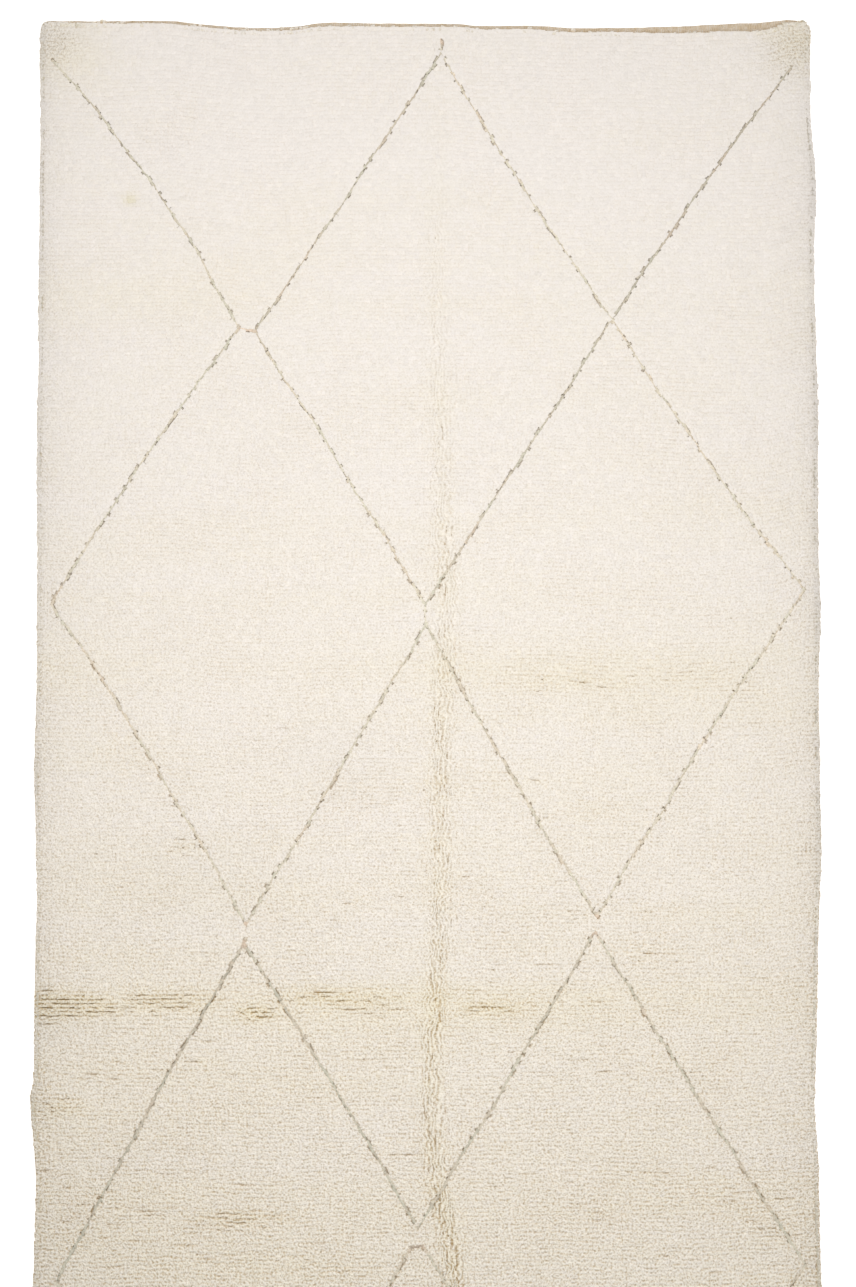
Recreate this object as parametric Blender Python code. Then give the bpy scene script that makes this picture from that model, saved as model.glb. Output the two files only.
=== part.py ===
"""A hand-knotted Beni Ourain rug, lying flat on the floor.

One closed solid: the woven ground and its pile as a lumpy slab, with the two-wide diamond
lattice sunk into the pile, the soft fold line down the middle, locks of pile round the rim
and a bare woven band at each end. Metres, +Z up. The origin is on the floor under the
middle of the rug, and +Y points to its upper end.
"""

import math
import random

import bpy
import numpy as np
from mathutils import Vector, geometry, noise

# Driving dimensions, in metres
WIDTH = 1.608
LENGTH = 3.220
PILE_TOP = 0.0170           # height of the pile over the floor
BAND_THICK = 0.0032         # the bare woven band at each end
CORNER_RADIUS = 0.020
MM = 0.001

# The lattice is a trough of shorter, darker pile
TROUGH_HALF_WIDTH = 0.0070
TROUGH_DEPTH = 0.0075
TROUGH_STEP = 0.034         # spacing of the points along it
TROUGH_UNEVEN = 0.44        # how much its width and depth change along it, as a share
UNEVEN_LENGTH = 0.15
STRAY = 0.005               # how far an arm strays from its own curve
STRAY_LENGTH = 0.11
STRAY_ENDS = 0.125          # share of an arm, at each knot, over which it comes back to it
ARM_LAYER_STEP = 3.7        # a layer of noise for each arm, this far from the next
WIDTH_LAYER = 9.0

# Top surface
LUMP_HEIGHT = 0.0026
LUMP_LENGTH = 0.075
LUMP_LAYER = 4.0
FIELD_STEP = 0.064          # spacing of the points between the troughs
FIELD_JITTER = 0.010
FOLD_HALF_WIDTH = 0.015
FOLD_STEP = 0.060
PARTING_HALF_WIDTH = 0.017
PARTING_STEP = 0.050
CLEAR_OF_RIM = 0.018
CLEAR_OF_TROUGH = 0.020
CLEAR_OF_CREASE = 0.040
CLEAR_OF_LIP = 0.0084       # a lip ends this far from the middle of another trough

# Rim
SIDE_STEP = 0.0165          # spacing of the points along the rim, half a lock
CORNER_STEPS = 4
LEAST_RADIUS = 0.004
SAME_POINT = 1e-6
LOCK_REACH = 0.0034         # how far a lock stands out from its neighbours
BAND_FADE = 0.045           # the band runs out round the corner over this length
SEED = 11

WOOL_COLOUR = (0.82, 0.77, 0.69, 1.0)
WOOL_ROUGHNESS = 0.95

# Both long edges: how far each lies inside the straight side, down the rug.
SIDE_EDGES = (  # y_mm, left_in_mm, right_in_mm
    (1610, 2, 10),
    (1540, 2, 11),
    (1400, 4, 10),
    (1270, 3, 1),
    (1145, 4, 6),
    (960, 5, 4),
    (770, 3, 0),
    (585, 5, 3),
    (400, 6, 0),
    (215, 6, 4),
    (30, 3, 3),
    (-90, 8, 2),
    (-215, 11, 6),
    (-335, 8, 11),
    (-455, 8, 14),
    (-575, 9, 18),
    (-605, 3, 19),
    (-640, 3, 20),
    (-760, 13, 13),
    (-820, 15, 13),
    (-940, 12, 10),
    (-1100, 7, 6),
    (-1350, 4, 8),
    (-1610, 6, 4),
)

# Each end: how far it lies inside the straight end, and how much of its woven band shows.
UPPER_END = (  # x_mm, end_in_mm, band_mm
    (-790, 2, 4),
    (-700, 3, 6),
    (-540, 2, 8),
    (-480, 8, 8),
    (-430, 13, 8),
    (-350, 17, 8),
    (-270, 14, 8),
    (-210, 6, 8),
    (-120, 7, 8),
    (0, 8, 8),
    (70, 9, 8),
    (120, 13, 8),
    (220, 12, 8),
    (300, 17, 8),
    (400, 17, 9),
    (500, 15, 11),
    (570, 12, 12),
    (650, 8, 15),
    (700, 6, 17),
    (755, 0, 19),
    (790, 4, 16),
)
LOWER_END = (  # x_mm, end_in_mm, band_mm
    (-790, 4, 9),
    (-420, 8, 10),
    (-60, 3, 9),
    (330, 7, 10),
    (790, 2, 9),
)

# Cross-section of the rim from the floor up, on a long side and at an end. At an end, what
# lies behind the band is measured from the band's inner edge. The last row is the edge of
# the top surface.
RIM_SECTION = (  # side_in_mm, side_height_share, end_in_mm, behind_band, end_height_m
    (4.5, 0.00, 0.5, 0, 0.0),
    (0.5, 0.24, 0.0, 0, BAND_THICK),
    (0.0, 0.55, 0.0, 1, BAND_THICK),
    (4.0, 0.82, 1.5, 1, 0.76 * PILE_TOP),
    (13.0, 1.00, 10.0, 1, PILE_TOP),
)
LOCK_SHARES = (  # side_share, end_share: how much of a lock each level of the rim takes
    (0.3, 0.2),
    (0.9, 0.2),
    (1.0, 0.7),
    (0.8, 1.0),
    (0.0, 0.0),
)

# Knots of the lattice, from the upper end down. A wide crossing is two knots.
LATTICE_KNOTS = {  # name: (x_mm, y_mm)
    "top_left": (-776, 1517),
    "top_mid_tail": (29, 1562),
    "top_mid": (29, 1533),
    "top_right": (754, 1504),
    "cross_a_left": (-388, 960),
    "cross_a_right": (-354, 953),
    "cross_b": (380, 979),
    "mid_left": (-769, 389),
    "mid_mid": (-4, 389),
    "mid_mid_low": (-2, 350),
    "mid_right": (772, 420),
    "cross_c": (-368, -262),
    "cross_c_low": (-372, -300),
    "cross_d": (345, -244),
    "cross_d_low": (341, -276),
    "low_left": (-747, -979),
    "low_mid": (-18, -871),
    "low_mid_left": (-34, -910),
    "low_mid_right": (-8, -905),
    "low_right": (762, -943),
    "cross_e": (-376, -1536),
    "cross_f": (366, -1540),
}
LATTICE_ARMS = (  # from, to, bow_mm: how far its middle lies to the left of a straight line
    ("top_mid_tail", "top_mid", 0),
    ("top_left", "cross_a_left", 23),
    ("top_mid", "cross_a_right", 2),
    ("top_mid", "cross_b", -8),
    ("top_right", "cross_b", -4),
    ("cross_a_left", "cross_a_right", 0),
    ("cross_a_left", "mid_left", -9),
    ("cross_a_right", "mid_mid", 3),
    ("cross_b", "mid_mid", 1),
    ("cross_b", "mid_right", -9),
    ("mid_mid", "mid_mid_low", 0),
    ("mid_left", "cross_c", 13),
    ("mid_mid_low", "cross_c", 1),
    ("mid_mid_low", "cross_d", -6),
    ("mid_right", "cross_d", -6),
    ("cross_c_low", "low_left", -5),
    ("cross_c_low", "low_mid", 5),
    ("cross_d_low", "low_mid", 1),
    ("cross_d_low", "low_right", -3),
    ("low_mid_left", "low_mid_right", 0),
    ("low_left", "cross_e", 5),
    ("low_mid_left", "cross_e", -4),
    ("low_mid_right", "cross_f", 6),
    ("low_right", "cross_f", -5),
)

# The line down the middle where the rug was kept folded, and the pile lies apart.
FOLD_LINE = (  # y_mm, x_mm, depth_mm
    (1500, 24, 0.0),
    (1240, 21, 1.0),
    (1050, 19, 2.0),
    (565, 33, 2.5),
    (370, 39, 3.0),
    (70, 27, 2.5),
    (-213, 27, 2.5),
    (-415, 16, 3.0),
    (-617, 10, 3.0),
    (-778, 22, 3.5),
    (-940, 54, 4.0),
    (-1250, 50, 3.0),
    (-1540, 48, 2.0),
)

# Where two knot rows lie apart, across the rug.
PARTINGS = (  # y_mm, from_x_mm, to_x_mm, depth_mm
    (-430, -770, -330, 3.5),
    (-425, 60, 190, 2.5),
    (-632, -770, -640, 2.5),
    (290, 330, 770, 2.0),
)


def along(table, at, column):
    """Smooth value of one column of a table, at a place in its first column."""
    rows = sorted(table)
    place = [row[0] for row in rows]
    value = [row[column] for row in rows]
    at = min(max(at, place[0]), place[-1])
    i = min(int(np.searchsorted(place, at, side="right")) - 1, len(rows) - 2)
    before = max(i - 1, 0)
    after = min(i + 2, len(rows) - 1)
    span = place[i + 1] - place[i]
    slope_a = (value[i + 1] - value[before]) / (place[i + 1] - place[before])
    slope_b = (value[after] - value[i]) / (place[after] - place[i])
    t = (at - place[i]) / span
    start = (1 + 2 * t) * (1 - t) ** 2 * value[i] + t * (1 - t) ** 2 * span * slope_a
    end = t * t * (3 - 2 * t) * value[i + 1] + t * t * (t - 1) * span * slope_b
    return start + end


def uneven(x, y):
    """A point of the straight-sided rug, moved along with its uneven edges."""
    right_share = 0.5 + x / WIDTH
    upper_share = 0.5 + y / LENGTH
    left_in = along(SIDE_EDGES, y / MM, 1) * MM
    right_in = along(SIDE_EDGES, y / MM, 2) * MM
    upper_in = along(UPPER_END, x / MM, 1) * MM
    lower_in = along(LOWER_END, x / MM, 1) * MM
    x += left_in * (1 - right_share) - right_in * right_share
    y += lower_in * (1 - upper_share) - upper_in * upper_share
    return x, y


def straight_outline(side_in, end_in, radius):
    """Points (x, y, end_share) anticlockwise round the rug with straight sides and round corners.

    end_share is 0 on a long side, 1 at an end, and between them round a corner.
    """
    x_mid = WIDTH / 2 - side_in - radius
    y_mid = LENGTH / 2 - end_in - radius
    points = []
    for number, (x_sign, y_sign) in enumerate(((1, 1), (-1, 1), (-1, -1), (1, -1))):
        centre = Vector((x_sign * x_mid, y_sign * y_mid))
        for step in range(CORNER_STEPS + 1):
            angle = 0.5 * math.pi * (number + step / CORNER_STEPS)
            offset = Vector((math.cos(angle), math.sin(angle)))
            point = centre + radius * offset
            points.append((point.x, point.y, abs(offset.y)))
        at_end = number % 2 == 0
        run = -2 * x_sign * x_mid if at_end else -2 * y_sign * y_mid
        steps = round((WIDTH if at_end else LENGTH) / SIDE_STEP)
        for step in range(1, steps):
            shift = run * step / steps
            x, y = (point.x + shift, point.y) if at_end else (point.x, point.y + shift)
            points.append((x, y, 1.0 if at_end else 0.0))
    return points


def rim_ring(level, locks):
    """The points (x, y, z) round the rim at one level of its cross-section."""
    side_in, height_share, end_in, behind_band, end_height = RIM_SECTION[level]
    side_lock, end_lock = LOCK_SHARES[level]
    radius = max(CORNER_RADIUS - side_in * MM, LEAST_RADIUS)
    points = []
    outline = straight_outline(side_in * MM, end_in * MM, radius)
    for number, (x, y, end_share) in enumerate(outline):
        lock = LOCK_REACH * locks[number]
        near_end = max(0.0, 1 - (LENGTH / 2 - abs(y)) / BAND_FADE)
        band = along(UPPER_END if y > 0 else LOWER_END, x / MM, 2) * MM
        x -= math.copysign(lock * side_lock * (1 - end_share), x)
        y -= math.copysign(lock * end_lock * end_share + band * behind_band * near_end, y)
        z = height_share * PILE_TOP * (1 - end_share) + end_height * end_share
        points.append((*uneven(x, y), z))
    return points


def arm_points(number, start, end, bow):
    """The centre line of one arm of the lattice, from knot to knot."""
    run = end - start
    left = Vector((-run.y, run.x)).normalized()
    steps = max(2, round(run.length / TROUGH_STEP))
    points = []
    for step in range(steps + 1):
        t = step / steps
        free = min(1.0, t / STRAY_ENDS, (1 - t) / STRAY_ENDS)
        at = Vector((t * run.length / STRAY_LENGTH, ARM_LAYER_STEP * number, 0.0))
        offset = 4 * t * (1 - t) * bow * MM + free * STRAY * noise.noise(at)
        points.append(start + run * t + left * offset)
    return points


def width_factor(point):
    """How wide and deep the trough is at a point, round 1."""
    at = Vector((point[0] / UNEVEN_LENGTH, point[1] / UNEVEN_LENGTH, WIDTH_LAYER))
    return 1 + TROUGH_UNEVEN * noise.noise(at)


def lattice_arms():
    """Every arm as (its two knots' names, its points)."""
    arms = []
    for number, (first, last, bow) in enumerate(LATTICE_ARMS):
        start = Vector(LATTICE_KNOTS[first]) * MM
        end = Vector(LATTICE_KNOTS[last]) * MM
        arms.append((first, last, arm_points(number, start, end, bow)))
    return arms


def distance_to_segments(points, segments):
    """The least distance from each point to a set of segments (x0, y0, x1, y1)."""
    points = np.asarray(points, float)[:, None, :2]
    start = segments[None, :, :2]
    run = segments[None, :, 2:] - start
    share = ((points - start) * run).sum(2) / (run * run).sum(2)
    nearest = start + np.clip(share, 0, 1)[..., None] * run
    return np.linalg.norm(points - nearest, axis=2).min(1)


def segments_of(line):
    return [(*line[i][:2], *line[i + 1][:2]) for i in range(len(line) - 1)]


def top_height(points, trough_segments):
    """Height of the top surface over each point."""
    to_trough = distance_to_segments(points, trough_segments)
    heights = []
    for (x, y), away in zip(points, to_trough):
        lump = noise.noise(Vector((x / LUMP_LENGTH, y / LUMP_LENGTH, LUMP_LAYER)))
        z = PILE_TOP + LUMP_HEIGHT * lump
        factor = width_factor((x, y))
        z -= TROUGH_DEPTH * factor * max(0.0, 1 - away / (TROUGH_HALF_WIDTH * factor))
        from_fold = abs(x - along(FOLD_LINE, y / MM, 1) * MM) / FOLD_HALF_WIDTH
        if y / MM > FOLD_LINE[-1][0]:
            z -= along(FOLD_LINE, y / MM, 2) * MM * max(0.0, 1 - from_fold)
        for row_y, first_x, last_x, depth in PARTINGS:
            if first_x <= x / MM <= last_x:
                from_row = abs(y - row_y * MM) / PARTING_HALF_WIDTH
                z -= depth * MM * max(0.0, 1 - from_row)
        heights.append(z)
    return heights


def lip_lines(arm, others):
    """Both lips of one arm's trough, each as lines that stop where another arm's trough begins."""
    lines = []
    for side in (1, -1):
        line = []
        for before, point, after in zip(arm, arm[1:], arm[2:]):
            run = (after - before).normalized()
            half = TROUGH_HALF_WIDTH * width_factor(point)
            lip = point + side * half * Vector((-run.y, run.x))
            if distance_to_segments([lip], others)[0] > CLEAR_OF_LIP:
                line.append(lip)
            elif line:
                lines.append(line)
                line = []
        lines.append(line)
    return [line for line in lines if line]


def fold_and_parting_points():
    """Points along the bottom and both edges of the fold line and of each parting."""
    points = []
    lowest, highest = FOLD_LINE[-1][0] * MM, FOLD_LINE[0][0] * MM
    steps = round((highest - lowest) / FOLD_STEP)
    for step in range(steps + 1):
        y = lowest + (highest - lowest) * step / steps
        x = along(FOLD_LINE, y / MM, 1) * MM
        points += [(x + side * FOLD_HALF_WIDTH, y) for side in (-1, 0, 1)]
    for row_y, first_x, last_x, _ in PARTINGS:
        steps = round((last_x - first_x) * MM / PARTING_STEP)
        for step in range(1, steps):
            x = (first_x + (last_x - first_x) * step / steps) * MM
            points += [(x, row_y * MM + side * PARTING_HALF_WIDTH) for side in (-1, 0, 1)]
    return points


def field_points():
    """Points of an uneven triangular grid over the whole rug."""
    draw = random.Random(SEED)
    row_step = FIELD_STEP * math.sqrt(0.75)
    last_row = math.ceil(LENGTH / 2 / row_step)
    last_column = math.ceil(WIDTH / 2 / FIELD_STEP)
    points = []
    for row in range(-last_row, last_row + 1):
        for column in range(-last_column, last_column + 1):
            x = (column + 0.5 * (row % 2)) * FIELD_STEP
            y = row * row_step
            points.append(
                (
                    x + draw.uniform(-FIELD_JITTER, FIELD_JITTER),
                    y + draw.uniform(-FIELD_JITTER, FIELD_JITTER),
                )
            )
    return points


def kept_clear(points, segments, clear):
    """The points that lie further than clear from every segment."""
    away = distance_to_segments(points, segments)
    return [point for point, far in zip(points, away) if far > clear]


def kept_apart(points, others, clear):
    """The points that lie further than clear from every other point."""
    spots = np.array(others)[None, :, :]
    away = np.linalg.norm(np.array(points)[:, None, :] - spots, axis=2).min(1)
    return [point for point, far in zip(points, away) if far > clear]


def inside_rim(points, rim):
    """The points that lie inside the rim's loop and clear of it."""
    straight = np.array(rim)[:, :2]
    low, high = straight.min(0), straight.max(0)
    boxed = [p for p in points if low[0] < p[0] < high[0] and low[1] < p[1] < high[1]]
    return kept_clear(boxed, np.array(segments_of(rim + rim[:1])), CLEAR_OF_RIM)


def top_surface(rim):
    """The top as (points, triangles), starting with the points of the rim's last ring."""
    arms = lattice_arms()
    trough_segments = np.array([s for _, _, line in arms for s in segments_of(line)])
    points = [point[:2] for point in rim]
    edges = []
    knots = {}
    for name, place in LATTICE_KNOTS.items():
        knots[name] = len(points)
        points.append((place[0] * MM, place[1] * MM))
    for number, (first, last, line) in enumerate(arms):
        middle = list(range(len(points), len(points) + len(line) - 2))
        points += [tuple(point) for point in line[1:-1]]
        chain = [knots[first], *middle, knots[last]]
        edges += zip(chain, chain[1:])
        others = []
        for other in arms[:number] + arms[number + 1 :]:
            others += segments_of(other[2])
        for lip in lip_lines(line, np.array(others)):
            chain = list(range(len(points), len(points) + len(lip)))
            points += [tuple(point) for point in lip]
            edges += zip(chain, chain[1:])
    creases = kept_clear(fold_and_parting_points(), trough_segments, CLEAR_OF_TROUGH)
    creases = inside_rim(creases, rim)
    points += creases
    field = kept_clear(field_points(), trough_segments, CLEAR_OF_TROUGH)
    field = kept_apart(field, creases, CLEAR_OF_CREASE)
    points += inside_rim(field, rim)
    flat = [Vector(point) for point in points]
    loop = list(range(len(rim)))
    inside_only = 1
    found = geometry.delaunay_2d_cdt(flat, edges, [loop], inside_only, SAME_POINT)
    flat_points, triangles, sources = found[0], found[2], found[3]
    order = sorted(range(len(flat_points)), key=lambda i: min(sources[i]))
    place = {old: new for new, old in enumerate(order)}
    ordered = [tuple(flat_points[i]) for i in order]
    heights = top_height(ordered, trough_segments)
    solid_points = [(x, y, z) for (x, y), z in zip(ordered, heights)]
    return solid_points, [[place[i] for i in triangle] for triangle in triangles]


def rug_mesh():
    """The closed mesh: underside, rings of the rim, and the top surface."""
    draw = random.Random(SEED)
    count = len(straight_outline(0.0, 0.0, CORNER_RADIUS))
    locks = [draw.random() for _ in range(count)]
    rings = [rim_ring(level, locks) for level in range(len(RIM_SECTION))]
    top_points, triangles = top_surface(rings[-1])
    points = [point for ring in rings[:-1] for point in ring] + top_points
    faces = [list(reversed(range(count)))]
    for level in range(len(rings) - 1):
        low, high = level * count, (level + 1) * count
        for i in range(count):
            j = (i + 1) % count
            faces.append((low + i, low + j, high + j, high + i))
    top_start = (len(rings) - 1) * count
    faces += [[top_start + i for i in triangle] for triangle in triangles]
    spread = np.array(points)
    middle = (spread.min(0) + spread.max(0)) / 2
    points = [(x - middle[0], y - middle[1], z) for x, y, z in points]
    mesh = bpy.data.meshes.new("rug")
    mesh.from_pydata(points, [], faces)
    mesh.validate()
    mesh.shade_smooth()
    mesh.set_sharp_from_angle(angle=math.radians(50))
    return mesh


def wool():
    """Undyed cream wool."""
    material = bpy.data.materials.new("cream_wool")
    material.use_nodes = True
    shader = material.node_tree.nodes["Principled BSDF"]
    shader.inputs["Base Color"].default_value = WOOL_COLOUR
    shader.inputs["Roughness"].default_value = WOOL_ROUGHNESS
    shader.inputs["Metallic"].default_value = 0.0
    return material


def build():
    for old in list(bpy.data.objects):
        bpy.data.objects.remove(old)
    rug = bpy.data.objects.new("rug", rug_mesh())
    rug.data.materials.append(wool())
    bpy.context.scene.collection.objects.link(rug)


build()
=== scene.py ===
import math

import bmesh
import bpy
import numpy as np
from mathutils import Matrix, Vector, noise


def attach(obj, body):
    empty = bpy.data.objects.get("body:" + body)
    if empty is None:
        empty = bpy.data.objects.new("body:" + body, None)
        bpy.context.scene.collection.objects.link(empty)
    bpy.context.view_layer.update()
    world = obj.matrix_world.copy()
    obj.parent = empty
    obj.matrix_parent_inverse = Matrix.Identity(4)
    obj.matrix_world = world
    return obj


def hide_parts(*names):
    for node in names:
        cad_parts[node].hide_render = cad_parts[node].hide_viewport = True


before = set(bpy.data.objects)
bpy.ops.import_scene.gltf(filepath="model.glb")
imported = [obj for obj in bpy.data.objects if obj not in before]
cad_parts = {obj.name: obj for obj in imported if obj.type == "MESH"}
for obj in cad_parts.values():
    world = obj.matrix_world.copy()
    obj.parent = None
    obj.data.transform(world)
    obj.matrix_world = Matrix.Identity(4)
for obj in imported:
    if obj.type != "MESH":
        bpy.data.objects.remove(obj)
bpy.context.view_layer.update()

# ---------------------------------------------------------------------------- The view
# The rug is seen from almost straight above, 4 m away, with its upper end a little
# further off, so that it narrows slightly upwards. Its lower end runs out of the picture.
PICTURE_WIDE = 856
METRES_A_PIXEL = 0.00205
CAMERA_AWAY = 4.0
CAMERA_TILT = math.radians(2.6)
SEEN_MIDDLE = Vector((0.002, 0.310, 0.0))
SENSOR_WIDE = 36.0
SEEN_TO = 50.0

camera = bpy.data.objects.new("camera", bpy.data.cameras.new("camera"))
bpy.context.scene.collection.objects.link(camera)
away = Vector((0.0, -math.sin(CAMERA_TILT), math.cos(CAMERA_TILT)))
camera.location = SEEN_MIDDLE + CAMERA_AWAY * away
camera.rotation_euler = (CAMERA_TILT, 0.0, 0.0)
camera.data.sensor_fit = "HORIZONTAL"
camera.data.sensor_width = SENSOR_WIDE
camera.data.lens = SENSOR_WIDE * CAMERA_AWAY / (PICTURE_WIDE * METRES_A_PIXEL)
camera.data.clip_end = SEEN_TO
bpy.context.scene.camera = camera

# ---------------------------------------------------------------------------- Woven ground
# The cloth that the pile is knotted into: thick wool wefts beaten over wool warps, bare
# for a finger's width at each end, where it shows as a tan flat-woven band. Its edges
# came uneven off a hand loom, and years of use have pulled them further.
MM = 0.001
RUG_WIDE = 1.608
RUG_LONG = 3.220
GROUND_THICK = 0.0032
GROUND_BELLY = 0.0010       # how far its rolled edge stands out at half its thickness
CORNER_RADIUS = 0.018
BAND_ZONE = 0.036           # length at each end that has its rows of points close together
BAND_ROW_STEP = 0.0018
MIDDLE_ROW_STEP = 0.050
COLUMN_STEP = 0.0065
RIPPLE_HEIGHT = 0.0010
RIPPLE_LENGTH = 0.016       # of the ripple in a bare band, across the rug
RIPPLE_DEPTH = 0.006        # and along it
NO_CHANGE = 1.0             # a length so great that what wanders over it hardly changes
WEFT_PITCH = 0.0024
WARP_PITCH = 0.0050
THREAD_WAVER = 1.2
THREAD_DEPTH = 0.0010
PATCH_LENGTH = 0.010        # of the darker and paler patches of its yarn
PATCH_RANGE = (0.38, 0.58)
DARK_YARN = "#C8AC86"
PALE_YARN = "#F6EFE7"
# The colour between the threads is painted shade in the hollows of the weave.
SHADE_BETWEEN_THREADS = "#D6C3A8"

SIDE_EDGES = (  # y_mm, left_in_mm, right_in_mm: how far each long edge lies inside a straight side
    (-1610, 6, 4),
    (-1350, 4, 8),
    (-1100, 7, 6),
    (-940, 12, 10),
    (-820, 15, 13),
    (-760, 13, 13),
    (-640, 3, 20),
    (-605, 3, 19),
    (-575, 9, 18),
    (-455, 8, 14),
    (-335, 8, 11),
    (-215, 11, 6),
    (-90, 8, 2),
    (30, 3, 3),
    (215, 6, 4),
    (400, 6, 0),
    (585, 5, 3),
    (770, 3, 0),
    (960, 5, 4),
    (1145, 4, 6),
    (1270, 3, 1),
    (1400, 4, 10),
    (1540, 2, 11),
    (1610, 2, 10),
)
UPPER_END = (  # x_mm, end_in_mm, band_mm: how far the end lies inside a straight one, and its band
    (-790, 5, 7),
    (-700, 6, 9),
    (-540, 5, 11),
    (-480, 11, 11),
    (-430, 16, 11),
    (-350, 20, 11),
    (-270, 17, 12),
    (-210, 9, 12),
    (-120, 10, 11),
    (0, 11, 11),
    (70, 12, 11),
    (120, 16, 12),
    (220, 15, 12),
    (300, 20, 13),
    (400, 20, 14),
    (500, 18, 17),
    (570, 15, 19),
    (650, 11, 21),
    (700, 9, 22),
    (733, 6, 18),
    (757, 3, 11),
    (790, 6, 6),
)
LOWER_END = (  # x_mm, end_in_mm, band_mm
    (-790, 4, 9),
    (-420, 8, 10),
    (-60, 3, 9),
    (330, 7, 10),
    (790, 2, 9),
)


def along(table, at, column):
    """Smooth values in metres of one column of a table, at places in metres."""
    rows = np.array(table, float) * MM
    place, value = rows[:, 0], rows[:, column]
    before = np.maximum(np.arange(len(place)) - 1, 0)
    after = np.minimum(np.arange(len(place)) + 1, len(place) - 1)
    slope = (value[after] - value[before]) / (place[after] - place[before])
    at = np.clip(at, place[0], place[-1])
    i = np.clip(np.searchsorted(place, at, side="right") - 1, 0, len(place) - 2)
    span = place[i + 1] - place[i]
    t = (at - place[i]) / span
    start = (1 + 2 * t) * (1 - t) ** 2 * value[i] + t * (1 - t) ** 2 * span * slope[i]
    end = t * t * (3 - 2 * t) * value[i + 1] + t * t * (t - 1) * span * slope[i + 1]
    return start + end


def uneven(x, y, bands=0.0):
    """Places on the straight-sided rug, moved along with its uneven edges and end bands."""
    right = 0.5 + x / RUG_WIDE
    upper = 0.5 + y / RUG_LONG
    left_in, right_in = along(SIDE_EDGES, y, 1), along(SIDE_EDGES, y, 2)
    upper_in = along(UPPER_END, x, 1) + bands * along(UPPER_END, x, 2)
    lower_in = along(LOWER_END, x, 1) + bands * along(LOWER_END, x, 2)
    return (
        x + left_in * (1 - right) - right_in * right,
        y + lower_in * (1 - upper) - upper_in * upper,
    )


def corner_squeeze(y):
    """How much narrower than the rest the rug is near an end, where its corners are round."""
    short_of = CORNER_RADIUS - np.clip(RUG_LONG / 2 - np.abs(y), 0, CORNER_RADIUS)
    return CORNER_RADIUS - np.sqrt(CORNER_RADIUS**2 - short_of**2)


def wander(x, y, x_length, y_length, layer):
    """Smooth noise at each place, about -0.6 to 0.6, with a grain of these lengths.

    Each layer is a different noise.
    """
    spots = zip((x / x_length).ravel().tolist(), (y / y_length).ravel().tolist())
    values = [noise.noise((u, v, layer)) for u, v in spots]
    return np.array(values).reshape(np.shape(x))


def ring_of(number):
    """The numbers round the edge of a grid of points, anticlockwise from its first point."""
    return np.concatenate([number[0, :-1], number[:-1, -1], number[-1, :0:-1], number[:0:-1, 0]])


def slab_mesh(name, x, y, z, skirts):
    """A closed sheet: a grid of points on top, and below its edge a ring for each skirt.

    Each skirt is (how far it stands out, its height), from the top down. The last is filled in.
    """
    number = np.arange(x.size).reshape(x.shape)
    points = [np.stack([x, y, z], axis=-1).reshape(-1, 3)]
    corners = [number[:-1, :-1], number[:-1, 1:], number[1:, 1:], number[1:, :-1]]
    faces = np.stack(corners, axis=-1).reshape(-1, 4).tolist()
    ring = ring_of(number)
    edge = points[0][ring]
    run = np.roll(edge, -1, axis=0) - np.roll(edge, 1, axis=0)
    out = np.stack([run[:, 1], -run[:, 0], 0 * run[:, 0]], axis=1)
    out /= np.linalg.norm(out, axis=1)[:, None]
    upper, total = ring, x.size
    for stand_out, height in skirts:
        skirt = edge + stand_out * out
        skirt[:, 2] = height
        points.append(skirt)
        lower = total + np.arange(len(ring))
        total += len(ring)
        quads = [upper, lower, np.roll(lower, -1), np.roll(upper, -1)]
        faces += np.stack(quads, axis=1).tolist()
        upper = lower
    faces.append(upper[::-1].tolist())
    mesh = bpy.data.meshes.new(name)
    mesh.from_pydata(np.concatenate(points).tolist(), [], faces)
    mesh.shade_smooth()
    mesh.polygons[len(faces) - 1].use_smooth = False
    return mesh


def ground_rows():
    """Places down the rug of the ground's rows of points, closer together at both ends."""
    fine = np.arange(0.0, BAND_ZONE, BAND_ROW_STEP)
    steps = round((RUG_LONG - 2 * BAND_ZONE) / MIDDLE_ROW_STEP)
    middle = np.linspace(BAND_ZONE, RUG_LONG - BAND_ZONE, steps + 1)
    return np.concatenate([fine, middle, RUG_LONG - fine[::-1]]) - RUG_LONG / 2


def ground_mesh():
    """The woven ground, rippled near its ends where the band is bare."""
    share = np.linspace(-1, 1, round(RUG_WIDE / COLUMN_STEP) + 1)
    y, share = np.meshgrid(ground_rows(), share, indexing="ij")
    near_end = np.clip(1 - (RUG_LONG / 2 - np.abs(y)) / BAND_ZONE, 0, 1)
    x, y = uneven(share * (RUG_WIDE / 2 - corner_squeeze(y)), y)
    y += near_end * RIPPLE_HEIGHT * wander(x, y, RIPPLE_LENGTH, NO_CHANGE, layer=0.5)
    z = GROUND_THICK + near_end * RIPPLE_HEIGHT * wander(x, y, RIPPLE_LENGTH, RIPPLE_DEPTH, layer=1.5)
    skirts = ((GROUND_BELLY, GROUND_THICK / 2), (0.0, 0.0))
    return slab_mesh("woven_ground", x, y, z, skirts)


def linear(code):
    """An sRGB hex colour as linear red, green, blue and alpha."""
    shares = [int(code[i : i + 2], 16) / 255 for i in (1, 3, 5)]
    return (*[s / 12.92 if s <= 0.04045 else ((s + 0.055) / 1.055) ** 2.4 for s in shares], 1.0)


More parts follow.
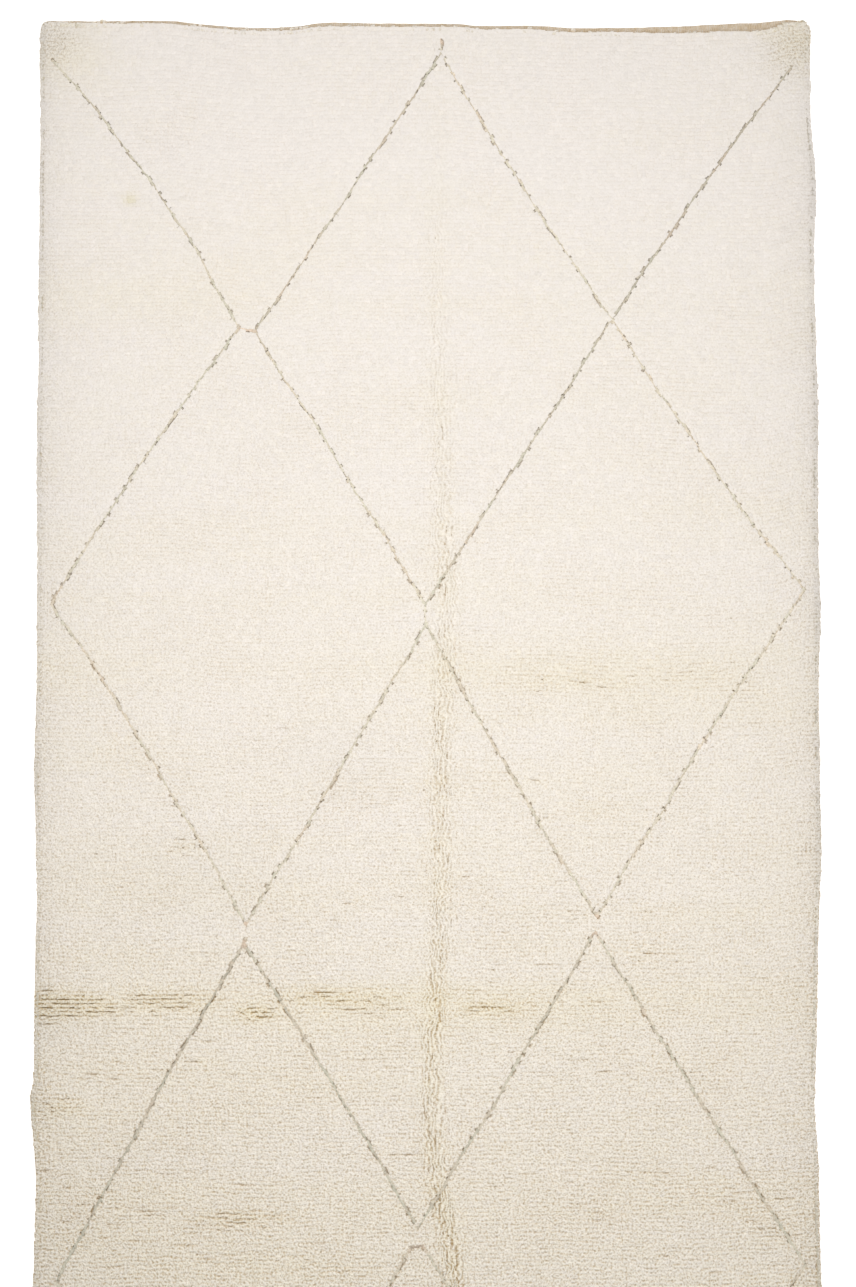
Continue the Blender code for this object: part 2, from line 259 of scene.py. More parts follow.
def add_node(tree, kind, inputs=None, give=0, **settings):
    """Adds a node, makes its settings, sets or links its inputs, and gives back one output."""
    node = tree.nodes.new(kind)
    for name, value in settings.items():
        setattr(node, name, value)
    shown = [socket for socket in node.inputs if socket.enabled]
    for key, value in (inputs or {}).items():
        socket = shown[key] if isinstance(key, int) else next(s for s in shown if s.name == key)
        if isinstance(value, bpy.types.NodeSocket):
            tree.links.new(value, socket)
        else:
            socket.default_value = value
    shown = [socket for socket in node.outputs if socket.enabled]
    if isinstance(give, str):
        return next(s for s in shown if s.name == give)
    return shown[give] if shown else None


def wave_scale(pitch):
    """The scale at which a wave texture makes one band in each pitch."""
    return math.tau / 20 / pitch


def woven_wool():
    """Undyed wool in a beaten plain weave: matt, tan, with fine ribs along the wefts, and painted shade
    between the threads.
    """
    material = bpy.data.materials.new("woven_wool")
    material.use_nodes = True
    tree = material.node_tree
    shader = tree.nodes["Principled BSDF"]
    place = add_node(tree, "ShaderNodeTexCoord", give="Object")
    ribs = []
    for pitch, direction in ((WEFT_PITCH, "Y"), (WARP_PITCH, "X")):
        rib = {"Vector": place, "Scale": wave_scale(pitch), "Detail": 1.0}
        rib["Distortion"] = THREAD_WAVER
        ribs.append(add_node(tree, "ShaderNodeTexWave", rib, "Fac", bands_direction=direction))
    weave = add_node(tree, "ShaderNodeMath", {0: ribs[0], 1: ribs[1]}, operation="MULTIPLY")
    patch = {"Vector": place, "Scale": 1 / PATCH_LENGTH, "Detail": 2.0}
    patch = add_node(tree, "ShaderNodeTexNoise", patch)
    patch = {"Value": patch, "From Min": PATCH_RANGE[0], "From Max": PATCH_RANGE[1]}
    patch = add_node(tree, "ShaderNodeMapRange", patch)
    tans = {"Factor": patch, "A": linear(DARK_YARN), "B": linear(PALE_YARN)}
    thread = add_node(tree, "ShaderNodeMix", tans, data_type="RGBA")
    # Where the threads dip between each other the colour darkens: painted shade.
    shades = {"Factor": weave, "A": linear(SHADE_BETWEEN_THREADS), "B": thread}
    colour = add_node(tree, "ShaderNodeMix", shades, data_type="RGBA")
    relief = {"Height": weave, "Distance": THREAD_DEPTH, "Strength": 0.8}
    bump = add_node(tree, "ShaderNodeBump", relief)
    tree.links.new(colour, shader.inputs["Base Color"])
    tree.links.new(bump, shader.inputs["Normal"])
    shader.inputs["Roughness"].default_value = 0.92
    shader.inputs["Sheen Weight"].default_value = 0.15
    return material


def keep_piece(piece, material=None):
    """Puts a finished piece in the scene as part of the rug's one body."""
    bpy.context.scene.collection.objects.link(piece)
    if material:
        piece.data.materials.append(material)
    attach(piece, "root")
    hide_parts("rug")


ground = bpy.data.objects.new("woven_ground", ground_mesh())
keep_piece(ground, woven_wool())

# ---------------------------------------------------------------------------- Cream pile
# Undyed hand-spun wool, two strands to a knot, knotted row by row and cut level 17 mm above
# the floor, so close-packed under its tips that it makes a solid bed. The upper part is
# combed soft, and lower down the rows stand apart and show their roots, painted darker as shade.
ROW_PITCH = 0.0084
KNOT_PITCH = 0.0088
PILE_TOP = 0.0170
ROOT_HEIGHT = 0.0050
SIDE_INSET = 0.0085         # from the rug's edge to its outermost knots
END_INSET = 0.0040          # from the end band to the first row of knots
LUMP_HEIGHT = 0.0014
LUMP_LENGTH = 0.075
FOLD_SINKS = 0.0010         # how much lower the pile is in the old fold
BANDS_OF_PILE = 5
SEED = 7

# The wool: its colours where it is cool and where it is warm, with its roots painted darker as shade,
# its grain and its lines of painted shade.
CREAM_TIPS = ("#F2EBE4", "#EFE7D1")
# The root colours are painted shade, darker down among the locks.
CREAM_ROOTS_IN_SHADE = ("#D8CBB9", "#C29C50")
STRAND_ENDS = (1 / 0.0042, 1 / 0.0040, 0.0)  # cut ends of a knot's two strands in a metre
GRAIN_DEPTH = 0.0040
GRAIN_PAINTED_SHADE = 0.35          # how much the grain's painted shade darkens and lightens the wool
GRAIN_BLEND = 0.8           # and how much its blend from root colour to tip colour
ROOT_SHADE_TO = 0.40       # share of a lock's height up to which it has its root colour, which is painted shade
ROW_SHADE_LINES = (0.0086, 10.0)  # pitch and waver of the fine lines of painted shade between the rows
COLUMN_SHADE_LINES = (0.0080, 15.0)  # and of those between the columns, in the old fold
SHADE_LINE_STRENGTH = 0.4         # of those painted shade lines, against the grain

# Where the knots stand.
ROW_SWAY = 0.007            # how far the rows of knots wander along the rug
ROW_SWAY_LONG = 0.22        # the length over which they do, across the rug and along it
ROW_SWAY_DEEP = 0.5
ROWS_STRAIGHTEN = 0.1       # length over which they straighten towards each end
ROW_SHIFT = 0.6             # of a knot's pitch that a row is shifted across the rug, at most
SHIFT_FADES = 0.05          # length over which that shift fades towards each side
SHIFT_NONE = 0.4            # share of that length beside each side that has none
KNOT_SCATTER = (0.0006, 0.0004)  # how far a knot stands off its place, across and along the rug
FOLD_ALIGNS = 2.5           # how strongly the old fold lines its knots up in columns
COLUMN_WAVER = 0.008        # how far those columns waver, and over what length
COLUMN_WAVER_LENGTH = 0.025

# How the locks lean, how large they are, and how much one differs from the next.
LEAN_COMBED = 0.20          # how far smooth pile leans down the rug
LEAN_COARSE = 0.15          # and how much less the coarse pile does
LEAN_UNEVEN = (0.20, 0.15)  # how unevenly the locks lean, across and along the rug
LEAN_LENGTH = (0.12, 0.09)  # and over what lengths
LEAN_SCATTER = (0.04, 0.035)  # how much each lock leans on its own
FOLD_LEAN = 0.4             # how far the locks of the old fold lean across it
FOLD_LEAN_WIDE = 0.013
FOLD_LEAN_LONG = 0.030
LEAN_LENGTHENS = 0.5        # how far a leaning lock is made longer, to reach as high
TOP_SCATTER = 0.0003
LOCK_WIDE = 1.75            # of a lock across the rug, in pitches, because locks overlap
LOCK_DEEP = 1.45            # and along it
FOLD_NARROWS = 0.25         # how much narrower and deeper locks are in the old fold
FOLD_DEEPENS = 0.20
SIZE_SCATTER = 0.03
TURN_SCATTER = 0.08
CROWN_LEAST = 0.0004        # how far a lock's widest ring lies below its tip
CROWN_COARSE = 0.0016       # how much more in coarse pile
CROWN_OPEN = 0.0004         # and where rows stand apart
TONE_SCATTER = 0.015
WARM_SCATTER = 0.05

# The bed between and under the locks.
BED_BELOW = 0.0030          # the bed's depth under the tips where the pile is combed over
BED_OPEN = 0.0048           # how much deeper it lies where the rows stand apart
BED_FOLD = 0.001            # and in the old fold
BED_STEP = 0.022
BED_NEAR = 0.7              # of a step from the lattice within which the bed has finer steps
BED_TROUGH = 0.0090         # half the width of its trough under the lattice
BED_IN_TROUGH = 0.0065
BED_CUTS = 3
BED_BELLY = 0.0010          # how far its rolled edge stands out, and at what height
BED_BELLY_HEIGHT = 0.006
# The bed's colour is painted shade: a lock's colour this far up, lower where rows stand apart and in the
# old fold.
BED_LIFT = 0.0004           # from the woven ground to its underside
BED_SHADE = 0.72            # the share of a lock's height that its colour is taken from
BED_SHADE_OPEN = 0.50       # how much lower that is where the rows stand apart
BED_SHADE_FOLD = 0.3        # and what share of this in the old fold

# The sunk line of the lattice, and the cream locks beside it.
TROUGH_LEAST = 0.0006       # half the width of the sunk lattice where it hardly shows
TROUGH_MORE = 0.0012        # how much more that is where it shows plainly
TROUGH_UNEVEN = 0.35
TROUGH_STEP = 0.034
UNEVEN_LENGTH = 0.06
LATTICE_REACH = 0.016       # how far from the lattice it changes the cream locks
LATTICE_CLEAR = 0.0030      # no cream knot is made closer to it than this
BESIDE_REACH = 0.0125       # the cream locks closer than this are turned to face it
BESIDE_DEEP = 0.0092        # size of those locks, towards it and along it
BESIDE_LONG = 0.0130
STEADY = 0.6                # how much less the locks beside it lean
STEADY_FADES = 0.008        # and the length over which that fades
STRAY = 0.005
STRAY_LENGTH = 0.11
STRAY_ENDS = 0.125
ARM_LAYER_STEP = 3.7

# Knots of the lattice, from the upper end down. A wide crossing is two knots.
LATTICE_KNOTS = {  # name: (x_mm, y_mm)
    "top_left": (-776, 1517),
    "top_mid_tail": (29, 1562),
    "top_mid": (29, 1533),
    "top_right": (754, 1504),
    "cross_a_left": (-388, 960),
    "cross_a_right": (-354, 953),
    "cross_b": (380, 979),
    "mid_left": (-769, 389),
    "mid_mid": (-4, 389),
    "mid_mid_low": (-2, 350),
    "mid_right": (772, 420),
    "cross_c": (-368, -262),
    "cross_c_tip": (-368, -288),
    "cross_c_low": (-372, -300),
    "cross_d": (345, -244),
    "cross_d_low": (341, -276),
    "low_left": (-747, -979),
    "low_mid": (-18, -871),
    "low_mid_left": (-34, -910),
    "low_mid_right": (-8, -905),
    "low_right": (762, -943),
    "cross_e": (-376, -1536),
    "cross_f": (366, -1540),
}
LATTICE_ARMS = (  # from, to, bow_mm to the left, depth_share: how plainly its trough shows
    ("top_mid_tail", "top_mid", 0, 0.65),
    ("cross_c_tip", "cross_c_low", 0, 0.8),
    ("top_left", "cross_a_left", 23, 0.6),
    ("top_mid", "cross_a_right", 2, 0.8),
    ("top_mid", "cross_b", -8, 0.35),
    ("top_right", "cross_b", -4, 1.0),
    ("cross_a_left", "cross_a_right", 0, 0.45),
    ("cross_a_left", "mid_left", -9, 0.6),
    ("cross_a_right", "mid_mid", 3, 0.45),
    ("cross_b", "mid_mid", 1, 0.85),
    ("cross_b", "mid_right", -9, 0.4),
    ("mid_mid", "mid_mid_low", 0, 0.2),
    ("mid_left", "cross_c", 13, 0.55),
    ("mid_mid_low", "cross_c", 1, 0.65),
    ("mid_mid_low", "cross_d", -6, 0.6),
    ("mid_right", "cross_d", -6, 0.55),
    ("cross_c_low", "low_left", -5, 1.05),
    ("cross_c_low", "low_mid", 5, 0.9),
    ("cross_d_low", "low_mid", 1, 0.85),
    ("cross_d_low", "low_right", -3, 0.75),
    ("low_mid_left", "low_mid_right", 0, 1.3),
    ("low_left", "cross_e", 5, 0.7),
    ("low_mid_left", "cross_e", -4, 0.7),
    ("low_mid_right", "cross_f", 6, 0.7),
    ("low_right", "cross_f", -5, 0.6),
)
FAINT_SPOTS = (  # x_mm, y_mm, half_size_mm: where the sunk line nearly closes
    (-3, 370, 16),
    (-400, -195, 35),
)
FOLD_LINE = (  # y_mm, x_mm, strength in thousandths: where the rug was kept folded
    (-1540, 48, 600),
    (-1250, 50, 800),
    (-940, 54, 1000),
    (-778, 22, 1000),
    (-617, 10, 900),
    (-415, 16, 900),
    (-213, 27, 800),
    (70, 27, 800),
    (370, 39, 800),
    (565, 33, 700),
    (1050, 19, 500),
    (1240, 21, 400),
    (1500, 24, 150),
)
FOLD_HALF_WIDTH = 0.026
FOLD_CLOSES = 0.7           # how much less its rows stand apart there
FOLD_OPENS = 1.3            # how openly its columns do
COLUMN_GAPS = 0.55          # how wide the gaps between them are, against those between rows
COLUMN_GAP_NARROWS = 0.05   # of its pitch that a lock is narrower beside them, past GAP_DEPTH

# The gaps between rows, and the lower part, where they are wider.
GAP_LENGTH = 0.032
GAP_DEPTH = 0.30            # of its pitch that a knot draws back from an open gap
GAP_LAYER_STEP = 7.3
GAP_SHARP = 1.6             # how suddenly a gap opens
GAP_SHUT = 0.5              # how far the rows are from parting where nothing opens them
GAP_PULL = 1.3              # how strongly a place where they stand apart opens them
LOWER_FROM = 0.75           # y at which the rug's lower part begins
LOWER_SPAN = 1.5            # and the length over which it changes
WORN = 0.22                 # how far apart the rows stand in the lower part
WORN_UNEVEN = 0.30
WORN_LONG = 0.30
WORN_DEEP = 0.06

# How coarse the pile is.
COARSE_FROM = 1.25          # y above which the pile is combed smooth
COARSE_LEAST = 0.24
COARSE_MOST = 1.10
COARSE_A_METRE = 0.37
COARSE_SIDE = 0.3           # how much coarser it is at each side, and how far in
COARSE_SIDE_DEEP = 0.04
COARSE_RUFFLED = 0.65

# How yellow the wool is, how grey, where shade and light are painted on it, and how plainly its painted
# shade lines show.
WARM_FROM = 1.3             # y at which the wool begins to get yellower, and over what length
WARM_SPAN = 2.6
WARM_LEAST = 0.05
WARM_DOWN = 0.45
WARM_BANDS = 0.12           # of bands across the rug, as between batches of yarn
WARM_BAND_LONG = 0.7
WARM_BAND_DEEP = 0.05
WARM_PATCHES = 0.09
WARM_PATCH_LONG = 0.25
WARM_PATCH_DEEP = 0.12
WARM_FOLD = 0.28
# Where rows stand apart the wool is yellower, which also makes the painted shade at its roots a deeper
# ochre.
WARM_OPEN = 0.4
GREY_EDGE = 0.06            # how much darker the wool is made towards each side, and how far in
GREY_EDGE_DEEP = 0.06
RIM_PAINTED_SHADE = 0.14             # and painted shade at the very rim, where the rounded edge turns from the light
RIM_PAINTED_SHADE_DEEP = 0.013
LOWER_PAINTED_LIGHT = 0.06          # how much paler the lower part is painted: painted light that tempers the lamp's falloff there
SHADE_LINES_LOWER = 0.28          # how plainly the painted shade lines between rows show in the lower part
SHADE_LINES_GROW = 1.3            # how fast they do so, going down
SHADE_LINES_NONE = 0.2            # what is taken off that, so that they start a little lower
SHADE_LINES_OPEN = 0.3
SHADE_LINES_FOLD = 2.0            # how plainly those between columns show in the old fold

STAIN_AND_SHADE_SPOTS = (  # x_mm, y_mm, half_length_mm, half_depth_mm, strength: where the wool is greyer; the first is a stain, the last two painted shade at the lower left
    (-610, 1225, 14, 12, 0.04),
    (-467, -173, 220, 110, 0.03),
    (-180, 71, 130, 90, 0.025),
    (-804, -450, 120, 60, 0.05),
    (-850, -1100, 400, 500, 0.03),
)
RUFFLED_SPOTS = (  # x_mm, y_mm, half_size_mm: where handling has ruffled the pile
    (745, 1545, 60),
    (-760, 1555, 45),
)
WARM_SPOTS = (  # x_mm, y_mm, half_length_mm, half_depth_mm, strength: where the wool is yellower
    (-740, 1540, 90, 70, 0.42),
    (765, 1560, 60, 70, 0.50),
    (-610, 1225, 14, 12, 0.9),
    (-560, 1010, 300, 60, 0.25),
    (300, 250, 500, 90, 0.25),
    (0, -430, 900, 50, 0.25),
    (-700, 260, 200, 60, 0.2),
)
OPEN_ROWS = (  # y_mm, x_mm, half_length_mm, half_depth_mm, how_open: where knot rows stand apart
    (-425, -740, 150, 34, 1.4),
    (-420, -540, 170, 34, 0.9),
    (-440, -350, 60, 26, 1.1),
    (-410, -180, 170, 34, 0.8),
    (-430, 130, 100, 26, 0.9),
    (-320, 440, 80, 40, 0.5),
    (-625, -730, 60, 28, 0.7),
    (-535, -450, 70, 26, 0.6),
    (-850, -380, 150, 30, 0.8),
    (-105, -490, 50, 22, 0.6),
    (230, 300, 200, 30, 0.6),
    (-30, 340, 80, 24, 0.5),
    (-870, 720, 120, 50, 0.6),
    (240, 560, 180, 40, 0.55),
)


def arm_points(number, start, end, bow):
    """The centre line of one arm of the lattice, from knot to knot."""
    run = end - start
    left = Vector((-run.y, run.x)).normalized()
    steps = max(2, round(run.length / TROUGH_STEP))
    points = []
    for step in range(steps + 1):
        t = step / steps
        free = min(1.0, t / STRAY_ENDS, (1 - t) / STRAY_ENDS)
        at = Vector((t * run.length / STRAY_LENGTH, ARM_LAYER_STEP * number, 0.0))
        offset = 4 * t * (1 - t) * bow * MM + free * STRAY * noise.noise(at)
        points.append(start + run * t + left * offset)
    return np.array([tuple(point) for point in points])


lattice = []
for arm_number, (first, last, bow_mm, depth_share) in enumerate(LATTICE_ARMS):
    arm_start = Vector(LATTICE_KNOTS[first]) * MM
    arm_end = Vector(LATTICE_KNOTS[last]) * MM
    lattice.append((arm_points(arm_number, arm_start, arm_end, bow_mm), depth_share))


def blot(x, y, x_mm, y_mm, half_length_mm, half_depth_mm):
    """A soft spot, 1 at its centre and near 0 past its half sizes."""
    across = (x - x_mm * MM) / (half_length_mm * MM)
    down = (y - y_mm * MM) / (half_depth_mm * MM)
    return np.exp(-(across**2) - down**2)


def trough_factor(x, y):
    """How wide the sunk lattice is at each place, round 1."""
    factor = 1 + TROUGH_UNEVEN * wander(x, y, UNEVEN_LENGTH, UNEVEN_LENGTH, layer=9.0)
    for x_mm, y_mm, half in FAINT_SPOTS:
        factor *= 1 - blot(x, y, x_mm, y_mm, half, half)
    return factor


def off_the_lattice(x, y, reach):
    """Each place's distance from the lattice, the way to it, and how plainly the lattice shows."""
    distance = np.full(len(x), np.inf)
    way = np.zeros((len(x), 2))
    shows = np.zeros(len(x))
    spots = np.stack([x, y], axis=1)
    for line, depth_share in lattice:
        for start, end in zip(line[:-1], line[1:]):
            low = np.minimum(start, end) - reach
            high = np.maximum(start, end) + reach
            near = np.nonzero(((spots > low) & (spots < high)).all(axis=1))[0]
            run = end - start
            share = np.clip((spots[near] - start) @ run / (run @ run), 0, 1)
            apart = spots[near] - (start + share[:, None] * run)
            gap = np.linalg.norm(apart, axis=1)
            closer = near[gap < distance[near]]
            kept = gap < distance[near]
            distance[closer] = gap[kept]
            way[closer] = apart[kept] / np.maximum(gap[kept], 1e-9)[:, None]
            shows[closer] = depth_share
    return distance, way, shows


def spun_wool(name, tips, roots):
    """Hand-spun wool pile: soft, matt and slightly hairy, paler at its cut tips than at its roots, whose
    darker colour is painted shade.

    tips and roots are each two colours, which the attribute "warm" blends between.
    """
    material = bpy.data.materials.new(name)
    material.use_nodes = True
    tree = material.node_tree
    shader = tree.nodes["Principled BSDF"]
    place = add_node(tree, "ShaderNodeTexCoord", give="Object")
    warm = add_node(tree, "ShaderNodeAttribute", give="Fac", attribute_name="warm")
    tone = add_node(tree, "ShaderNodeAttribute", give="Fac", attribute_name="tone")
    rise = add_node(tree, "ShaderNodeAttribute", give="Fac", attribute_name="rise")
    coarse = add_node(tree, "ShaderNodeAttribute", give="Fac", attribute_name="coarse")
    # Wool fibres are too fine to show, so this grain is as coarse as the strands' cut ends,
    # and runs down the sides of the locks as the strands do. Its darker specks are painted shade between
    # the ends.
    ends = add_node(tree, "ShaderNodeVectorMath", {0: place, 1: STRAND_ENDS}, operation="MULTIPLY")
    strands = {"Vector": ends, "Scale": 1.0, "Detail": 1.0, "Roughness": 0.6}
    grain = add_node(tree, "ShaderNodeTexNoise", strands, noise_dimensions="2D")
    middling = add_node(tree, "ShaderNodeMath", {0: grain, 1: 0.5}, operation="SUBTRACT")
    # Where the pile has parted a little along its rows, or along its columns in the old fold,
    # fine lines of painted shade show. The attribute "lines" is above 0 for rows and below 0 for
    # columns.
    lines = add_node(tree, "ShaderNodeAttribute", give="Fac", attribute_name="lines")
    for share, direction, (pitch, waver) in ((1.0, "Y", ROW_SHADE_LINES), (-1.0, "X", COLUMN_SHADE_LINES)):
        line = {"Vector": place, "Scale": wave_scale(pitch), "Distortion": waver}
        line.update({"Detail": 1.0, "Detail Scale": 0.8})
        line = add_node(tree, "ShaderNodeTexWave", line, "Fac", bands_direction=direction)
        line = add_node(tree, "ShaderNodeMath", {0: line, 1: 0.5}, operation="SUBTRACT")
        plain = {0: lines, 1: share}
        plain = add_node(tree, "ShaderNodeMath", plain, operation="MULTIPLY", use_clamp=True)
        line = add_node(tree, "ShaderNodeMath", {0: line, 1: SHADE_LINE_STRENGTH}, operation="MULTIPLY")
        line = {0: line, 1: plain, 2: middling}
        middling = add_node(tree, "ShaderNodeMath", line, operation="MULTIPLY_ADD")
    ruffle = add_node(tree, "ShaderNodeMath", {0: middling, 1: coarse}, operation="MULTIPLY")
    risen = {0: ruffle, 1: GRAIN_BLEND, 2: rise}
    risen = add_node(tree, "ShaderNodeMath", risen, operation="MULTIPLY_ADD")
    blends = []
    for cool_colour, warm_colour in (roots, tips):
        pair = {"Factor": warm, "A": linear(cool_colour), "B": linear(warm_colour)}
        blends.append(add_node(tree, "ShaderNodeMix", pair, data_type="RGBA"))
    # Down each lock the tip colour gives way to the darker root colour: painted shade among the locks.
    climb = {"Value": risen, "From Min": ROOT_SHADE_TO, "From Max": 1.0}
    height = add_node(tree, "ShaderNodeMapRange", climb, interpolation_type="SMOOTHSTEP")
    blend = {"Factor": height, "A": blends[0], "B": blends[1]}
    colour = add_node(tree, "ShaderNodeMix", blend, data_type="RGBA")
    speckle = {0: ruffle, 1: GRAIN_PAINTED_SHADE, 2: 1.0}
    speckle = add_node(tree, "ShaderNodeMath", speckle, operation="MULTIPLY_ADD")
    shade = add_node(tree, "ShaderNodeMath", {0: tone, 1: speckle}, operation="MULTIPLY")
    toned = add_node(tree, "ShaderNodeVectorMath", {0: colour, "Scale": shade}, operation="SCALE")
    relief = {"Height": ruffle, "Distance": GRAIN_DEPTH, "Strength": 0.8}
    bump = add_node(tree, "ShaderNodeBump", relief)
    tree.links.new(toned, shader.inputs["Base Color"])
    tree.links.new(bump, shader.inputs["Normal"])
    shader.inputs["Roughness"].default_value = 0.95
    shader.inputs["Specular IOR Level"].default_value = 0.2
    shader.inputs["Sheen Weight"].default_value = 0.25
    shader.inputs["Sheen Roughness"].default_value = 0.5
    return material


def lock_setter():
    """Geometry Nodes that stand a lock of yarn on each point, sized and leaned by its attributes."""
    tree = bpy.data.node_groups.new("set_locks", "GeometryNodeTree")
    named = (
        ("Knots", "NodeSocketGeometry"),
        ("Rings", "NodeSocketInt"),
        ("Shoulder", "NodeSocketFloat"),
        ("Frizz", "NodeSocketFloat"),
        ("Frizz length", "NodeSocketFloat"),
        ("Lock height", "NodeSocketFloat"),
        ("Lowest", "NodeSocketFloat"),
        ("Wool", "NodeSocketMaterial"),
    )
    for name, kind in named:
        tree.interface.new_socket(name, in_out="INPUT", socket_type=kind)
    tree.interface.new_socket("Locks", in_out="OUTPUT", socket_type="NodeSocketGeometry")
    given = tree.nodes.new("NodeGroupInput").outputs

    # One lock, 1 high and 1 wide, square, with its widest ring at the shoulder and a point at
    # each end. Close-packed rows press real locks nearly square.
    ball = {"Segments": 4, "Rings": given["Rings"], "Radius": 1.0}
    ball = add_node(tree, "GeometryNodeMeshUVSphere", ball, "Mesh")
    ball = {"Geometry": ball, "Rotation": (0.0, 0.0, math.pi / 4)}
    ball = add_node(tree, "GeometryNodeTransform", ball)
    at = add_node(tree, "GeometryNodeInputPosition")
    half = math.sqrt(0.5)
    across = {0: at, 1: (half, half, 0.0)}
    across = add_node(tree, "ShaderNodeVectorMath", across, operation="MULTIPLY")
    height = add_node(tree, "ShaderNodeSeparateXYZ", {0: at}, "Z")
    over = add_node(tree, "ShaderNodeMath", {0: height, 1: 0.0}, operation="MAXIMUM")
    under = add_node(tree, "ShaderNodeMath", {0: height, 1: 0.0}, operation="MINIMUM")
    above = add_node(tree, "ShaderNodeMath", {0: 1.0, 1: given["Shoulder"]}, operation="SUBTRACT")
    over = {0: over, 1: above, 2: given["Shoulder"]}
    over = add_node(tree, "ShaderNodeMath", over, operation="MULTIPLY_ADD")
    rise = {0: under, 1: given["Shoulder"], 2: over}
    rise = add_node(tree, "ShaderNodeMath", rise, operation="MULTIPLY_ADD")
    up = add_node(tree, "ShaderNodeCombineXYZ", {"Z": rise})
    shape = add_node(tree, "ShaderNodeVectorMath", {0: across, 1: up}, operation="ADD")
    risen = {"Geometry": ball, "Name": "rise", "Value": rise}
    lock = add_node(tree, "GeometryNodeStoreNamedAttribute", risen, data_type="FLOAT")
    # The widest ring is the one at height 0, and its edges are kept crisp.
    level = add_node(tree, "ShaderNodeMath", {0: height}, operation="ABSOLUTE")
    widest = add_node(tree, "ShaderNodeMath", {0: level, 1: 0.01}, operation="LESS_THAN")
    ringed = {"Geometry": lock, "Name": "widest", "Value": widest}
    lock = add_node(tree, "GeometryNodeStoreNamedAttribute", ringed, data_type="FLOAT")
    crease = {"Geometry": lock, "Selection": widest, "Shade Smooth": False}
    lock = add_node(tree, "GeometryNodeSetShadeSmooth", crease, domain="EDGE")
    lock = add_node(tree, "GeometryNodeSetPosition", {"Geometry": lock, "Position": shape})

    # Each lock points along its lean, turned about itself by its own angle.
    lean = {"Name": "lean"}
    lean = add_node(tree, "GeometryNodeInputNamedAttribute", lean, data_type="FLOAT_VECTOR")
    size = {"Name": "size"}
    size = add_node(tree, "GeometryNodeInputNamedAttribute", size, data_type="FLOAT_VECTOR")
    upright = add_node(tree, "FunctionNodeAlignRotationToVector", {"Vector": lean}, axis="Z")
    turn = add_node(tree, "GeometryNodeInputNamedAttribute", {"Name": "turn"}, data_type="FLOAT")
    spin = {"Axis": (0.0, 0.0, 1.0), "Angle": turn}
    spin = add_node(tree, "FunctionNodeAxisAngleToRotation", spin)
    turned = {"Rotation": upright, "Rotate By": spin}
    turned = add_node(tree, "FunctionNodeRotateRotation", turned, rotation_space="LOCAL")
    stood = {"Points": given["Knots"], "Instance": lock, "Rotation": turned, "Scale": size}
    stood = add_node(tree, "GeometryNodeInstanceOnPoints", stood)
    locks = add_node(tree, "GeometryNodeRealizeInstances", {"Geometry": stood})

    # The widest ring sinks below the tip by the lock's own crown, which makes it flat or pointed.
    # Then frizz pushes the points of every lock about, so that no two are alike.
    crown = {"Name": "crown"}
    crown = add_node(tree, "GeometryNodeInputNamedAttribute", crown, data_type="FLOAT")
    ring = {"Name": "widest"}
    ring = add_node(tree, "GeometryNodeInputNamedAttribute", ring, data_type="FLOAT")
    sink = add_node(tree, "ShaderNodeMath", {0: crown, 1: ring}, operation="MULTIPLY")
    # The ring's rise sinks too, so it takes more of the root colour: painted shade round each lock's
    # edge.
    risen = add_node(tree, "GeometryNodeInputNamedAttribute", {"Name": "rise"}, data_type="FLOAT")
    sunk = add_node(tree, "ShaderNodeMath", {0: sink, 1: given["Lock height"]}, operation="DIVIDE")
    sunk = add_node(tree, "ShaderNodeMath", {0: risen, 1: sunk}, operation="SUBTRACT")
    sunk = {"Geometry": locks, "Name": "rise", "Value": sunk}
    locks = add_node(tree, "GeometryNodeStoreNamedAttribute", sunk, data_type="FLOAT")
    sink = add_node(tree, "ShaderNodeMath", {0: sink, 1: -1.0}, operation="MULTIPLY")
    sink = add_node(tree, "ShaderNodeCombineXYZ", {"Z": sink})
    locks = add_node(tree, "GeometryNodeSetPosition", {"Geometry": locks, "Offset": sink})
    where = add_node(tree, "GeometryNodeInputPosition")
    fine = {0: 1.0, 1: given["Frizz length"]}
    fine = add_node(tree, "ShaderNodeMath", fine, operation="DIVIDE")
    push = {"Vector": where, "Scale": fine, "Detail": 0.0}
    push = add_node(tree, "ShaderNodeTexNoise", push, "Color")
    push = add_node(tree, "ShaderNodeVectorMath", {0: push, 1: (0.5, 0.5, 0.5)}, operation="SUBTRACT")
    push = {0: push, "Scale": given["Frizz"]}
    push = add_node(tree, "ShaderNodeVectorMath", push, operation="SCALE")
    locks = add_node(tree, "GeometryNodeSetPosition", {"Geometry": locks, "Offset": push})
    # What would hang lower is pressed flat where the rug lies.
    where = add_node(tree, "GeometryNodeInputPosition")
    level = add_node(tree, "ShaderNodeSeparateXYZ", {0: where}, "Z")
    lift = add_node(tree, "ShaderNodeMath", {0: given["Lowest"], 1: level}, operation="SUBTRACT")
    lift = add_node(tree, "ShaderNodeMath", {0: lift, 1: 0.0}, operation="MAXIMUM")
    lift = add_node(tree, "ShaderNodeCombineXYZ", {"Z": lift})
    locks = add_node(tree, "GeometryNodeSetPosition", {"Geometry": locks, "Offset": lift})
    for name in ("lean", "size", "turn", "crown", "widest"):
        gone = {"Geometry": locks, "Name": name}
        locks = add_node(tree, "GeometryNodeRemoveAttribute", gone)
    painted = {"Geometry": locks, "Material": given["Wool"]}
    locks = add_node(tree, "GeometryNodeSetMaterial", painted)
    add_node(tree, "NodeGroupOutput", {"Locks": locks})
    return tree


